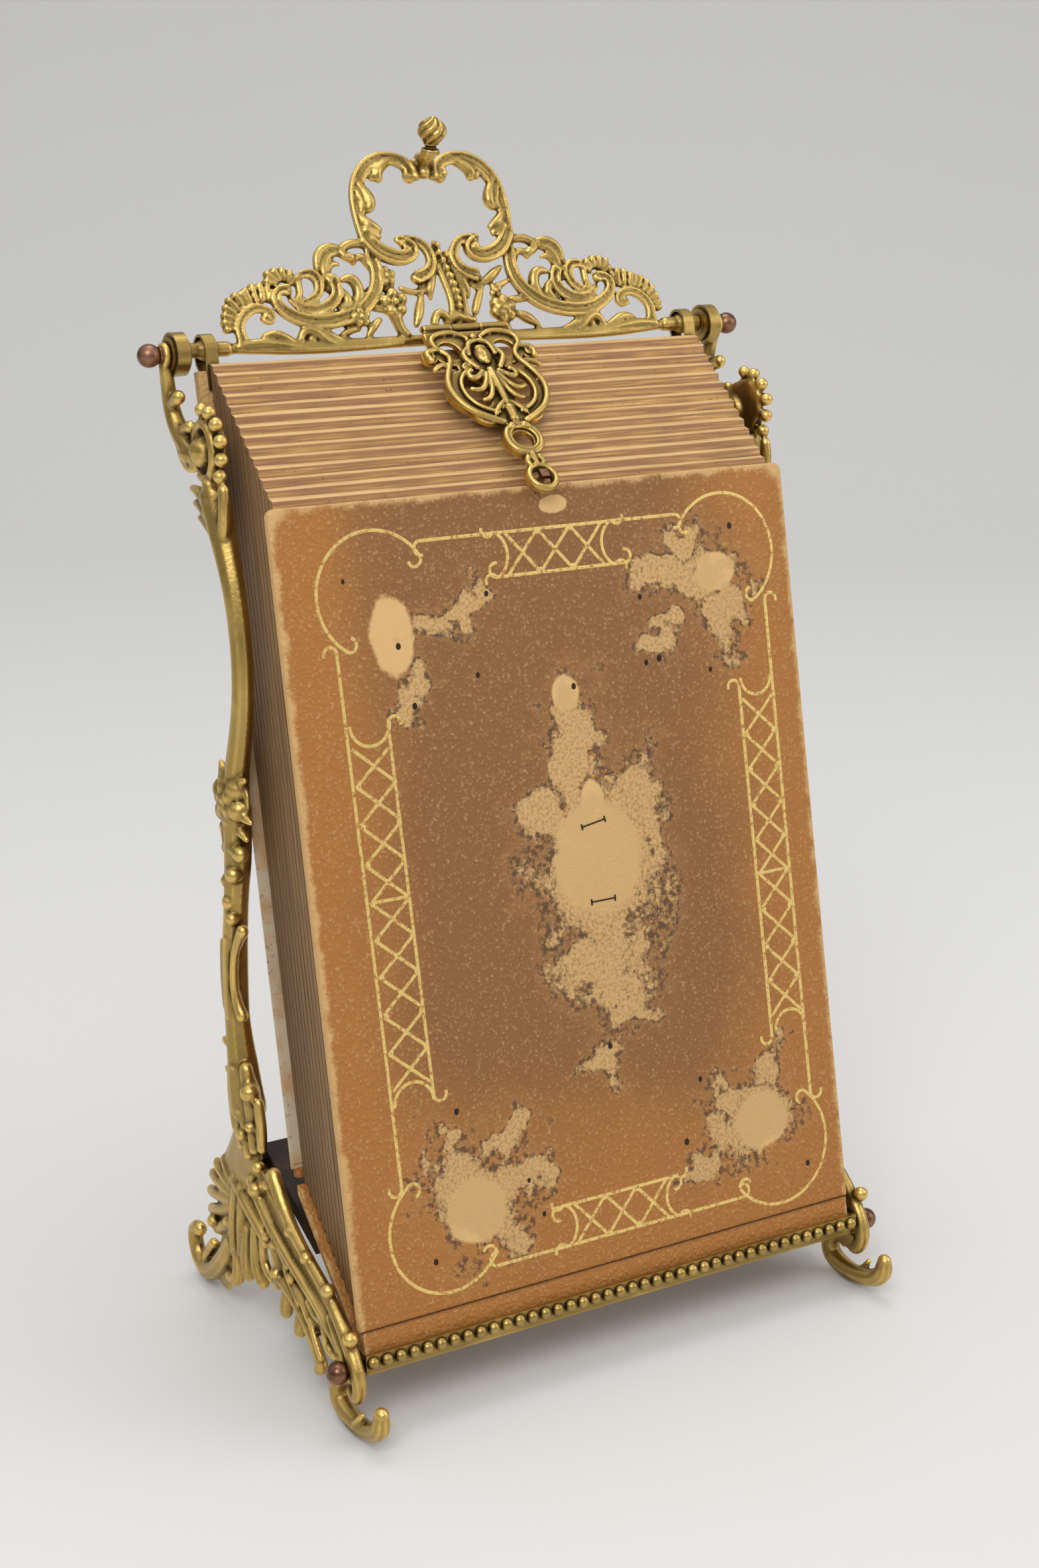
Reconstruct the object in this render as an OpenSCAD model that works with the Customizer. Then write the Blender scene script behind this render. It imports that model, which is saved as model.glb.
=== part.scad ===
/* [Album] */
// Width of the covers
cover_w = 220; // [160:1:300]
// Height of the front cover along its slope
cover_h = 303.5; // [240:0.5:400]
// Thickness of a cover board
cover_t = 3.8; // [2.5:0.1:6]
// Lean of the album back from upright, in degrees
lean = 11.7; // [6:0.1:18]
// Height of the fold line of the front cover above its foot
crease_h = 8.5; // [6:0.1:14]
// Width of the leaves
leaf_w = 212; // [140:1:292]
// Number of leaves in the block
leaf_count = 14; // [6:1:20]
// Thickness of one leaf
leaf_t = 2.7; // [1.5:0.05:4]
// Slit between one leaf and the next
leaf_slit = 0.18; // [0.1:0.01:0.5]
// Rise of each leaf above the one in front of it
leaf_step = 3.93; // [2:0.01:6]
// Fall of a leaf's slanted top edge towards the front
leaf_bevel = 3.2; // [0:0.1:5]
// Thickness of the spine leather
spine_t = 2.2; // [1:0.1:4]
// Thickness of the paper lining on the rear cover
lining_t = 0.5; // [0.3:0.05:1]
// Thickness of the loose card behind the leaves
card_t = 0.7; // [0.4:0.05:1.5]
// Height of the rear cover above the rearmost leaf's foot
rear_cover_h = 297; // [230:1:390]

/* [Stand] */
// Distance from the foot of the cover to the middle of the stand
foot_ahead = 63; // [50:0.5:80]
// Height of the cover's foot above the table
foot_height = 30.3; // [24:0.1:45]
// Distance of the side frames' middle plane from the centre
frame_x = 112.3; // [90:0.1:160]
// Outward splay of the side frames, in degrees
splay = 0.53; // [0:0.01:2]
// Thickness of a side frame behind its middle plane
frame_back = 1.9; // [1:0.1:3]
// Depth of the plain casting in front of its middle plane
frame_face = 2; // [1:0.1:4]
// Height of the top screws above the table
top_screw_z = 375.5; // [300:0.5:480]
// Distance of the top screws behind the cover's foot
top_screw_y = 122.6; // [100:0.1:170]
// Distance of the top eyes from the centre
eye_x = 120.6; // [95:0.1:175]
// Thickness of a top eye
eye_t = 2.4; // [1.5:0.1:4]
// Outer radius of a top eye
eye_r = 4.6; // [3.6:0.1:7]
// Radius of a screw's shank
screw_r = 1.1; // [0.8:0.05:2]
// Clearance round pins and screws
pin_gap = 0.06; // [0.03:0.01:0.15]
// Radius of the ball head of a screw
ball_r = 4.3; // [3:0.1:7]
// Radius of the disc nut
disc_r = 7.9; // [6:0.1:12]
// Length of the disc nut along its axis
disc_l = 7; // [5:0.1:12]

/* [Front rail] */
// Height of the beaded strip
strip_h = 6.2; // [4:0.1:10]
// Thickness of the beaded strip
strip_t = 1.6; // [1:0.1:3]
// Distance of the strip's face ahead of the cover's foot
strip_ahead = 3.4; // [2:0.1:6]
// Number of beads
bead_count = 40; // [10:1:80]
// Radius of a bead
bead_r = 2.4; // [1:0.1:4]
// Depth of the ledge under the cover's foot
ledge_d = 8; // [5:0.1:14]
// Height of the ledge bar
ledge_h = 6.4; // [4:0.1:8]

/* [Rear rail and rest board] */
// Radius of the rear rail
rear_rail_r = 3.2; // [2:0.1:5]
// Distance of the rear rail behind the cover's foot
rear_rail_y = 85.5; // [70:0.5:110]
// Height of the rear rail above the table
rear_rail_z = 70; // [50:0.5:90]
// Thickness of the rest board
board_t = 5.5; // [3:0.1:9]
// Width of the rest board
board_w = 217; // [150:1:300]
// Slope of the rest board, in degrees
board_slope = 25; // [15:0.5:35]

/* [Crest] */
// Lean of the crest back from upright, in degrees
crest_lean = 24; // [10:0.5:35]
// Radius of the crest's rail
rail_r = 2.7; // [2:0.1:4]
// Height of the crest's rail above the top screws
rail_rise = 1; // [0:0.1:1.4]
// Radius of the bulb near each end of the rail
bulb_r = 4.2; // [3:0.1:6]
// Half length of the crest's rail
rail_half = 112; // [85:0.1:160]
// Depth of the relief at the front of the crest
crest_face = 3; // [1.5:0.1:5]
// Depth of the relief at the back of the crest
crest_back = 1.8; // [1:0.1:4]
// Height of the flame finial
finial_h = 13.4; // [8:0.1:24]

/* [Clasp] */
// Length from the hinge to the middle of the end eye
clasp_reach = 75.8; // [50:0.1:110]
// Slope of the closed clasp below level, in degrees
clasp_slope = 41.2; // [30:0.1:55]
// Radius of the end eye
clasp_eye_r = 6.6; // [5:0.1:10]
// Radius of the hole in the end eye
clasp_eye_hole_r = 3.8; // [2.8:0.1:6]
// Depth of the relief at the front of the clasp
clasp_face = 2; // [1:0.1:4]
// Depth of the clasp behind its middle plane
clasp_back = 1.3; // [0.8:0.1:2]
// Radius of the hinge barrel
barrel_r = 1.7; // [1.2:0.1:3]
// Radius of the hinge pin
hinge_pin_r = 0.8; // [0.5:0.05:1.2]
// Length of the hinge barrel
barrel_l = 37; // [24:0.5:60]
// Width of the square head of the stud
stud_head = 3.4; // [2:0.1:5]

/* [Hidden] */

$fn = 40;
touch = 0.3;
sides = 6;
brass = [0.72, 0.56, 0.25];
copper = [0.42, 0.27, 0.2];
leather = [0.6, 0.36, 0.16];
gilt = [0.68, 0.5, 0.28];
paper = [0.88, 0.84, 0.74];
board_brown = [0.25, 0.15, 0.1];

leaf_pitch = leaf_t + leaf_slit;
block_d = cover_t + leaf_count * leaf_pitch;
block_rise = (leaf_count + 1) * leaf_step;
rear_face = block_d + card_t + 2 * leaf_slit;
frame_inner = frame_x - frame_back;
ledge_z = foot_height - 0.4;
rail_screw_z = ledge_z - ledge_h + screw_r + 1.4;
rail_screw_y = 1.5;
pad_rise = frame_face + 0.6;
tenon_r = 1.8;

// Outward lift of the top eye from the frame's middle plane
eye_lift = eye_x - frame_x - top_screw_z * tan(splay);

// Distance of the frame's inner face from the centre at a height above the table
function inner_at(z) = frame_x - frame_back + z * tan(splay) - 0.02;

// Seat of the finial on the crest's plane, its lift and its forward tilt
finial_v = 71;
finial_lift = 9.8;
finial_tilt = 11;

// Hinge of the clasp in front of the crest's rail, and its place in the stand
knuckle_half = 6;
hinge_v = 1.7;
hinge_out = 7.2;
hinge_y = top_screw_y + hinge_v * sin(crest_lean) - hinge_out * cos(crest_lean);
hinge_z = top_screw_z + hinge_v * cos(crest_lean) + hinge_out * sin(crest_lean);
stud_r = 1.4;
stud_depth = 6.6;

// Underside of the spine leather: its drop below the leaves' corners, its slope and its rear end
leaf_slope = atan(leaf_step / leaf_pitch);
spine_drop = spine_t / cos(leaf_slope);
spine_end_z = block_rise - leaf_step - 0.12 - spine_drop;
spine_end = [block_d * cos(lean) + spine_end_z * sin(lean), foot_height + spine_end_z * cos(lean) - block_d * sin(lean)];
function cross_2(a, b) = a[0] * b[1] - a[1] * b[0];
function along(angle) = [cos(angle), sin(angle)];

// Points and widths along a smooth curve through the knots, each [x, y, half width, lift]
function knot(k, i, t) =
    let (n = len(k) - 1, a = k[max(i - 1, 0)], b = k[i], c = k[min(i + 1, n)], d = k[min(i + 2, n)])
    0.5 * (2 * b + (c - a) * t + (2 * a - 5 * b + 4 * c - d) * t * t + (3 * b - a - 3 * c + d) * t * t * t);
function smooth(k, steps) = concat(
    [for (i = [0:len(k) - 2], s = [0:steps - 1]) knot(k, i, s / steps)],
    [k[len(k) - 1]]);
function heading(r, i) = let (a = r[max(i - 1, 0)], b = r[min(i + 1, len(r) - 1)]) atan2(b[1] - a[1], b[0] - a[0]);

// A rounded scroll of changing width, with its relief in front of and behind the middle plane.
// Its back follows the lift by the given share, so 1 bends the whole scroll and 0 keeps its back flat.
module strand(knots, face, back, steps = 2, n = sides, follow = 0.4) {
    run = smooth(knots, steps);
    last = len(run) - 1;
    points = [for (i = [0:last], j = [0:n - 1])
        let (p = run[i], h = heading(run, i), t = 360 * j / n, w = max(p[2], 0.3), s = sin(t),
            share = s > 0.01 ? 1 : s < -0.01 ? follow : (1 + follow) / 2)
        [p[0] - sin(h) * w * cos(t), p[1] + cos(h) * w * cos(t),
            p[3] * share + s * min(s > 0 ? face : back, max(w, 0.6) * 1.3)]];
    walls = [for (i = [0:last - 1], j = [0:n - 1])
        let (a = i * n + j, b = i * n + (j + 1) % n)
        each [[a, a + n, b + n], [a, b + n, b]]];
    ends = [[for (j = [0:n - 1]) j], [for (j = [n - 1:-1:0]) last * n + j]];
    polyhedron(points, concat(walls, ends), convexity = 6);
}

// A knob that ends a scroll
module knob(x, y, r, lift = 0, flat = 1) {
    translate([x, y, lift]) scale([1, 1, flat]) sphere(r, $fn = r > 3.2 ? 8 : 6);
}

// A ridged leaf or petal from one point to another, broadest at the given share of its length
module leaf(from, to, width, lift = 0, thick = 1.8, belly = 0.4, tip = 0.15, n = 4) {
    length = norm(to - from);
    translate([from[0], from[1], lift]) rotate(atan2(to[1] - from[1], to[0] - from[0]))
        scale([1, width, thick]) rotate([0, 90, 0]) hull() {
            cylinder(h = length * belly, r1 = 0.5, r2 = 1, $fn = n);
            translate([0, 0, length * belly]) cylinder(h = length * (1 - belly), r1 = 1, r2 = tip, $fn = n);
        }
}

// A plump lobe with a blunt end
module lobe(from, to, width, lift = 1, thick = 2.6) {
    length = norm(to - from);
    translate([from[0], from[1], lift]) rotate(atan2(to[1] - from[1], to[0] - from[0]))
        scale([1, width, thick]) rotate([0, 90, 0]) cylinder(h = length, r1 = 0.8, r2 = 0.66, $fn = 4);
}

// A ring of blunt petals round a centre
module flower(x, y, r, petals, lift = 1, turn = 18) {
    for (k = [0:petals - 1]) {
        a = 360 * k / petals + turn;
        translate([x, y, lift]) rotate(a) translate([r * 0.2, 0, 0]) scale([1, r * 0.46, 1.7]) rotate([0, 90, 0])
            cylinder(h = r * 0.78, r1 = 0.5, r2 = 0.86, $fn = 4);
    }
    knob(x, y, r * 0.32, lift + 1.2);
}

// Places what it holds on the sloping plane of the front cover, with Z up the slope
module on_slope() {
    translate([0, -foot_ahead, foot_height]) rotate([-lean, 0, 0]) children();
}

// Places a casting drawn in plan, with X forward and Y up, on the left side of the stand
module on_left() {
    translate([-frame_x, -foot_ahead, 0]) rotate([0, -splay, 0]) rotate([90, 0, -90]) children();
}

// Front scrolled foot, drawn forward of the cover's foot line
module front_foot() {
    strand([[-11, 27, 4.4, 0.5], [-14.5, 17, 4.6, 0.5], [-10.5, 8, 4.3, 0.4], [-2.5, 3, 3.9, 0.2], [8, 2.8, 3.7, 0.2],
        [17, 5, 4.1, 0.2], [19.6, 11.5, 3.8, 0.2], [15.4, 15, 3.4, 0.2]], 3.6, frame_back, 2);
    knob(13.6, 10, 6.4, 0.4, 0.45);
    leaf([-9, 9], [1, 15], 3, 1.4, 2.4);
}

// Rear scrolled foot
module rear_foot() {
    strand([[-99, 38, 9, 0.5], [-105, 25, 7.4, 0.8], [-114, 12.4, 6.2, 0.6], [-125, 4.8, 5.2, 0.2], [-134.5, 4.2, 4.6, 0.2],
        [-137.6, 11.4, 4, 0.2], [-132.4, 14, 3.2, 0.2]], 3.8, frame_back, 1);
    leaf([-101, 34], [-131, 8], 3.4, 2.6, 2.6, 0.4, 0.2);
    lobe([-100, 32], [-99, 18], 4.6, 1);
}

// Plain web that joins the two feet and carries the leaf work
module base_web() {
    strand([[-84, 86, 13, 0], [-92, 72, 16, 0], [-101, 56, 16, 0], [-104, 42, 12, 0], [-101, 30, 8, 0]],
        frame_face, frame_back, 1);
    strand([[-82, 78, 14, 0], [-70, 60, 15, 0], [-54, 50, 12, 0], [-36, 42, 9.5, 0], [-18, 34, 8, 0], [-6, 27, 7, 0],
        [2, 22, 5.5, 0]], frame_face, frame_back, 1);
}

// Leaf ribs and drops on the base
module base_leaves() {
    for (p = [[-105, 72], [-114, 64], [-121, 53], [-122, 41], [-113, 31]]) lobe(0.62 * [-90, 54] + 0.38 * p, p, 5, 2, 2.4);
    for (p = [[-98, 52, -86, 26, 5.6], [-80, 60, -74, 29, 5.2], [-62, 52, -56, 25, 5], [-50, 46, -43, 20.5, 4.4],
        [-36, 38, -30, 12, 4]]) lobe([p[0], p[1]], [p[2], p[3]], p[4], 2, 2.4);
    strand([[-78, 74, 4.4, 1.4], [-62, 60, 4.6, 1.8], [-40, 53, 3.8, 1.8], [-20, 47, 3.4, 1.8], [-5, 37, 3.6, 1.8],
        [4.4, 27, 3.8, 1.4], [4, 18, 3.2, 0.8], [-3, 16.4, 2.2, 0.4]], 3.2, frame_back, 1);
    strand([[-60, 47, 3, 1.6], [-42, 39, 3.2, 1.8], [-28, 30, 3, 1.6], [-20, 20, 3, 1], [-23, 12, 3, 0.4]],
        3, frame_back, 1);
    leaf([-52, 52], [-72, 44], 3, 2.6, 2.4);
    leaf([-18, 32], [-33, 44], 3.4, 2.4, 2.4);
    leaf([-94, 66], [-76, 58], 3.4, 2.8, 2.4);
    knob(-8, 27, 4, 2.4, 0.8);
    for (p = [[-47.8, 59.6], [-34.3, 54.6], [-17, 49.2], [0.2, 37.4]]) knob(p[0], p[1], 2.2, 1.8);
}

// Baluster of the upright, from the base to the rose
module upright_lower() {
    strand([[-87, 72, 14, 0.3], [-86, 86, 14.4, 0.5], [-86, 99, 13, 0.5], [-90, 111, 8.6, 0.5], [-92.6, 122, 6.2, 0.5],
        [-93.6, 138, 5.4, 0.4], [-92.6, 156, 5.6, 0.4], [-90.4, 174, 5.4, 0.4], [-87, 190, 6.2, 0.4],
        [-85.4, 204, 7, 0.4]], 3.3, frame_back, 1);
    for (p = [[-92, 76, -94, 101, 4.4], [-83, 76, -82, 104, 4.6], [-76, 78, -74, 99, 4], [-88, 92, -92, 114, 4]])
        leaf([p[0], p[1]], [p[2], p[3]], p[4], 2.8, 2.2);
    leaf([-92, 110], [-101, 119], 2.8, 1, 2.4, 0.6, 0.5);
    leaf([-90, 100], [-98.6, 107.6], 2.8, 1, 2.4, 0.6, 0.5);
    leaf([-90, 118], [-82, 133], 2.6, 1.6, 2.4, 0.6, 0.5);
    strand([[-88.6, 132, 1.8, 1.2], [-90, 148, 1.6, 1.6], [-87, 161, 1.8, 1.4], [-80.4, 168, 2.2, 1]],
        2.8, frame_back, 1, 6);
    leaf([-94, 130], [-95, 166], 2, 2.6, 2);
    leaf([-92, 168], [-85, 192], 3, 2.4, 2.4);
    leaf([-90, 186], [-80, 197], 3, 1.8, 2.4);
}

// Rose and its leaves half way up
module upright_rose() {
    flower(-86, 217, 13.4, 6, 0.8, 30);
    flower(-86, 217, 8.4, 5, 2.6, 0);
    for (p = [[-79, 222, -63, 226], [-78, 214, -61, 216.4], [-79, 208, -65, 205], [-80, 229, -71, 237],
        [-92, 204, -97, 197], [-91, 230, -98, 238]]) leaf([p[0], p[1]], [p[2], p[3]], 3.4, 0.6, 2.4, 0.5, 0.2);
}

// Slim stem, leaf and shell above the rose
module upright_upper() {
    strand([[-86, 222, 9, 0.4], [-83, 237, 8, 0.4], [-78, 249, 4.6, 0.4], [-75.4, 263, 3.4, 0.4], [-75.8, 279, 3, 0.4],
        [-78, 295, 3.4, 0.4], [-82.4, 309, 5, 0.4], [-91, 321, 10, 0.4], [-97, 332, 12.4, 0.4], [-97, 342, 11, 0.4]],
        2.6, frame_back, 1);
    flower(-85, 240, 6.4, 3, 1.6, 70);
    knob(-96, 344.6, 10, 1, 0.42);
    for (a = [-30:40:130]) lobe([-96, 344] + 8 * along(a), [-96, 344] + 14.6 * along(a), 5, 1.6, 2);
    for (p = [[-90, 319, -105, 317], [-94, 326, -112, 326], [-88, 320, -79, 327]])
        leaf([p[0], p[1]], [p[2], p[3]], 4, 1.2, 2, 0.5, 0.3);
}

// Branch that bends out to the top eye
module top_branch() {
    lift = eye_lift;
    strand([[-99, 333, 6, 0], [-108, 340, 5.4, 0.6], [-114.5, 350, 4.4, 1.8], [-118, 360, 3.4, 3.2],
        [-120.6, 367, 2.8, lift - 0.6], [-top_screw_y, top_screw_z - 3.6, 2.6, lift]], 2.2, 1.2, 1, 6, 1);
    knob(-112.6, 359.4, 2.9, 2.6);
    leaf([-106, 340], [-108, 352], 3, 2, 2.2);
    translate([-top_screw_y, top_screw_z, lift]) cylinder(h = eye_t, r = eye_r, center = true, $fn = 12);
}

// Whole side casting in its own plane, with holes for the screws and tenons
module side_casting() {
    difference() {
        union() {
            front_foot();
            rear_foot();
            base_web();
            base_leaves();
            upright_lower();
            upright_rose();
            upright_upper();
            top_branch();
            translate([-rail_screw_y, rail_screw_z, -frame_back]) cylinder(h = frame_back + pad_rise, r = 4, $fn = 12);
            translate([-rear_rail_y, rear_rail_z, -frame_back]) cylinder(h = frame_back + frame_face, r = 6, $fn = 12);
        }
        translate([-rail_screw_y, rail_screw_z, 0]) cylinder(h = 20, r = screw_r + 2 * pin_gap, center = true, $fn = 16);
        translate([-rail_screw_y, rail_screw_z, pad_rise]) cylinder(h = 10, r = ball_r + 0.4, $fn = 16);
        translate([-rear_rail_y, rear_rail_z, 0]) cylinder(h = 30, r = tenon_r + pin_gap, center = true, $fn = 12);
        translate([-top_screw_y, top_screw_z, eye_lift]) cylinder(h = 20, r = screw_r + 2 * pin_gap, center = true, $fn = 16);
        translate([0, 0, -frame_back - 10]) cube([600, 1000, 20], center = true);
    }
}

// Side casting stood in its place, with level flats under its feet
module side_frame() {
    difference() {
        on_left() side_casting();
        translate([-frame_x, 0, -10]) cube([60, 400, 20], center = true);
    }
}

module side_frame_left() {
    color(brass) side_frame();
}

module side_frame_right() {
    color(brass) mirror([1, 0, 0]) side_frame();
}

// Places what it holds at the top screws' line
module at_top_screws() {
    translate([0, top_screw_y - foot_ahead, top_screw_z]) children();
}

// Leans a casting drawn in plan back over the top screws, with its front towards the viewer
module on_crest() {
    at_top_screws() rotate([90 - crest_lean, 0, 0]) children();
}

// One wing of the crest, drawn to the right
module crest_wing() {
    strand([[-2, rail_rise, rail_r, 0], [60, rail_rise, rail_r + 0.2, 0], [84, rail_rise, rail_r, 0],
        [95, rail_rise, rail_r - 0.7, 0], [101, rail_rise, rail_r - 0.3, 0]], crest_face, crest_back + 0.8, 1);
    leaf([70, 0.6], [56, 8], 2.6, 1.4, 2.8);
    leaf([91, 0.6], [73, 6.6], 2.6, 1.4, 2.6);
    strand([[37.4, 34.6, 1.5, 0.4], [32.6, 36.6, 2.1, 0.4], [28.8, 31.6, 2.3, 0.4], [28.8, 22.6, 2.6, 0.6],
        [35, 13.6, 3.1, 0.8], [46, 8.8, 3.3, 0.8], [58, 8.4, 3.3, 0.8], [69, 12.6, 2.9, 0.6], [74, 19.8, 2.3, 0.4],
        [72, 25.4, 1.9, 0.4]], crest_face, crest_back, 1);
    knob(68.6, 21.6, 3.6, 0.6, 0.9);
    strand([[36, 21, 1.8, 0.4], [37.4, 15, 1.8, 0.4]], crest_face, crest_back, 1, 4);
    knob(36, 22, 3, 0.6);
    strand([[44.6, 23, 1.8, 0.4], [45.4, 16.4, 2.3, 0.6], [51, 13.4, 2.4, 0.6], [59, 13.8, 2.2, 0.6],
        [66, 19, 1.6, 0.4]], crest_face, crest_back, 1);
    knob(46, 23, 2.9, 0.6);
    strand([[36, 32, 1.4, 0.4], [41, 36.6, 2.2, 0.6], [47.4, 38.4, 2.8, 0.8], [52.4, 34, 3, 0.8], [53.4, 26, 2.4, 0.6],
        [56.4, 16, 1.6, 0.4]], crest_face, crest_back, 1);
    leaf([41, 30], [45, 37], 2, 2.4, 2);
    strand([[61, 16, 1.2, 0.4], [56.8, 22, 1.6, 0.6], [57.4, 27.6, 1.8, 0.6], [62, 28.6, 1.2, 0.6]],
        crest_face, crest_back, 1, 4);
    for (a = [50, 90, 130]) lobe([70, 21] + 4 * along(a), [70, 21] + 11.4 * along(a), 3.2, 0.8, 2);
    strand([[77, 11, 1.8, 0.4], [76, 15.6, 1.7, 0.4], [81, 18.6, 1.9, 0.4], [87.6, 16.4, 1.9, 0.4], [91, 10.6, 1.8, 0.4],
        [88.6, 2, 1.7, 0.4]], crest_face - 0.6, crest_back, 1, 4);
    knob(78, 10.4, 2.4, 0.6);
    for (a = [14:25:114])
        leaf([80.5, 10] + 8 * along(a), [80.5, 10] + 15 * along(a), 2.6, 0.6, 1.8, 0.6, 0.4);
}

// Half of the carrying handle, drawn to the right
module handle_half() {
    strand([[9.6, 29.6, 2.4, 2.6], [14, 27.6, 3, 2.6], [20.4, 29, 3.2, 2], [26, 33.6, 3.2, 0.8], [30, 40.5, 2.7, 0],
        [31.8, 49, 2.3, 0], [31, 57.6, 2.5, 1.6], [27, 65.4, 3, 5], [21, 70.2, 2.9, 8], [14, 70.6, 2.6, 9],
        [8, 67.4, 2.5, 8.6], [5.6, 62, 2.4, 6.4]], 2.8, 2.2, 1, sides, 1);
    knob(9.8, 31.4, 3.5, 2.6);
    knob(5.8, 61, 3.1, 5.8);
    leaf([28, 64.6], [19.6, 62], 2.8, 5.4, 2.2, 0.6, 0.5);
    leaf([31.4, 60], [24.4, 50.4], 2.8, 1.6, 2.2, 0.6, 0.4);
    leaf([31.4, 41.4], [23.4, 45], 2.6, 0.4, 2, 0.5, 0.4);
    leaf([13, 29.6], [28, 38], 2.6, 2.8, 2.4);
}

// Beaded column, plumes and base curls at the middle of the crest
module crest_centre() {
    strand([[-2, 35.6, 2, 0.6], [0, 29.6, 2.6, 0.8], [2.6, 22, 2.6, 0.8], [3.2, 14, 2.7, 0.8], [0, 4, 2.6, 0.6]],
        crest_face, crest_back, 1);
    for (k = [0:4]) knob(2.4 + 0.8 * sin(60 * k), 13 + 4.6 * k, 1.3, 3.2);
    for (p = [[-1, 26, -14.4, 25, 2.6], [1, 17, -10.4, 18.4, 2.2], [2, 28, 13, 25.6, 2.6], [3, 18, 14, 17.4, 2.4]])
        leaf([p[0], p[1]], [p[2], p[3]], p[4], 1, 2.4, 0.5, 0.35);
    leaf([-2, 30], [-9.6, 32], 2.2, 1, 2.2, 0.5, 0.4);
    for (p = [[-3.8, 4.3, -11.6, 8.4], [4.4, 4.3, 11, 8]]) lobe([p[0], p[1]], [p[2], p[3]], 2.6, 1, 2.6);
    strand([[-12, 27.6, 2, 2], [0, 32.6, 2, 1.4], [12, 27.6, 2, 2]], 2.2, 1.4, 1, 4);
    knob(0, finial_v - 4.4, 4.9, finial_lift - 1);
    strand([[-8, 67.4, 2, 8.8], [0, 65.4, 2.2, 8.2], [8, 67.4, 2, 8.8]], 2, 2, 1, 4, 1);
}

// Flowers, rose, stems and leaves between the wings and the centre
module crest_flowers() {
    flower(-26, 13.6, 7, 5, 0.8);
    flower(-28, 24.4, 4.8, 5, 0.6);
    flower(-42, 7.4, 5, 5, 0.8);
    for (p = [[-8, 20, -28, 20.4, 1.4], [-26, 11, -22, 2, 1.4], [-44, 8, -27, 12, 1.3], [-28, 24, -33, 27, 1.4],
        [-8, 13, -26, 13, 1.2], [25, 14, 32, 20, 1.4], [19, 8, 18, 1.4, 1.6], [13, 12, 3, 13, 1.4]])
        strand([[p[0], p[1], p[4], 0], [p[2], p[3], p[4], 0]], 1.8, crest_back, 1, 4);
    leaf([-13, 19], [-18.6, 5.6], 3, 0.6, 2);
    flower(20, 11.4, 8, 5, 0.4, 0);
    flower(20, 11.4, 4.6, 4, 2.2, 20);
    leaf([10.4, 20], [22, 27.4], 3, 0.8, 2);
    leaf([25, 9], [38, 3.6], 3, 0.6, 2);
}

// Turned bulb and neck at the right end of the crest's rail
module crest_end() {
    translate([104.2, rail_rise, 0]) sphere(bulb_r, $fn = 8);
    translate([100, rail_rise, 0]) rotate([0, 90, 0]) cylinder(h = rail_half - 100, r = rail_r + 0.1, $fn = 12);
}

// Upright frame on the seat of the finial, tipped slightly forward
module at_finial() {
    translate([0, finial_v, finial_lift]) rotate([crest_lean - 90 + finial_tilt, 0, 0]) children();
}

module crest() {
    color(brass) on_crest() difference() {
        union() {
            for (s = [0, 1]) mirror([s, 0, 0]) {
                crest_wing();
                handle_half();
                crest_end();
            }
            crest_centre();
            crest_flowers();
        }
        for (s = [-1, 1]) translate([s * (rail_half - 16), 0, 0]) rotate([0, s * 90, 0])
            cylinder(h = 20, r = screw_r + pin_gap, $fn = 16);
        at_finial() {
            cylinder(h = 8, r = 4.4, $fn = 16);
            translate([0, 0, -4]) cylinder(h = 8, r = screw_r + pin_gap, $fn = 16);
        }
    }
}

// Radius of the flame along its height, from 0 to 1
function flame(h) = 0.35 + 2.5 * sin(min(h, 0.42) * 214) * (h < 0.42 ? 1 : pow(cos((h - 0.42) * 155), 1.15)) * 0.42;

// Ridged flame that twists as it rises
module flame_body(height, r, ridges = 6, levels = 7, twist = 70) {
    n = 2 * ridges;
    points = [for (i = [0:levels], j = [0:n - 1])
        let (h = i / levels, a = 360 * j / n + twist * h, q = r * flame(h) * (j % 2 == 0 ? 1.08 : 0.84))
        [q * cos(a), q * sin(a), height * h]];
    walls = [for (i = [0:levels - 1], j = [0:n - 1])
        let (a = i * n + j, b = i * n + (j + 1) % n) each [[a, a + n, b + n], [a, b + n, b]]];
    ends = [[for (j = [0:n - 1]) j], [for (j = [n - 1:-1:0]) levels * n + j]];
    polyhedron(points, concat(walls, ends), convexity = 4);
}

// Twisted flame on a collar, standing upright on the handle
module flame_finial() {
    color(brass) on_crest() at_finial() {
        translate([0, 0, -3.4]) cylinder(h = 4, r = screw_r, $fn = 16);
        cylinder(h = 1.2, r = 3.9, $fn = 20);
        cylinder(h = 2.4, r = 2.3, $fn = 20);
        translate([0, 0, 1.9]) flame_body(finial_h - 1.9, 5.4);
    }
}

// Ball-headed screw along X, with its head to the right of the given seat
module ball_screw(seat, reach) {
    translate([seat, 0, 0]) rotate([0, 90, 0]) {
        cylinder(h = 0.9, r = ball_r * 0.72);
        translate([0, 0, ball_r + 0.05]) sphere(ball_r);
        translate([0, 0, -reach]) cylinder(h = reach + 1, r = screw_r);
    }
}

module top_screw_left() {
    color(copper) mirror([1, 0, 0]) at_top_screws() ball_screw(eye_x + eye_t / 2 + 0.05, 22);
}

module top_screw_right() {
    color(copper) at_top_screws() ball_screw(eye_x + eye_t / 2 + 0.05, 22);
}

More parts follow.
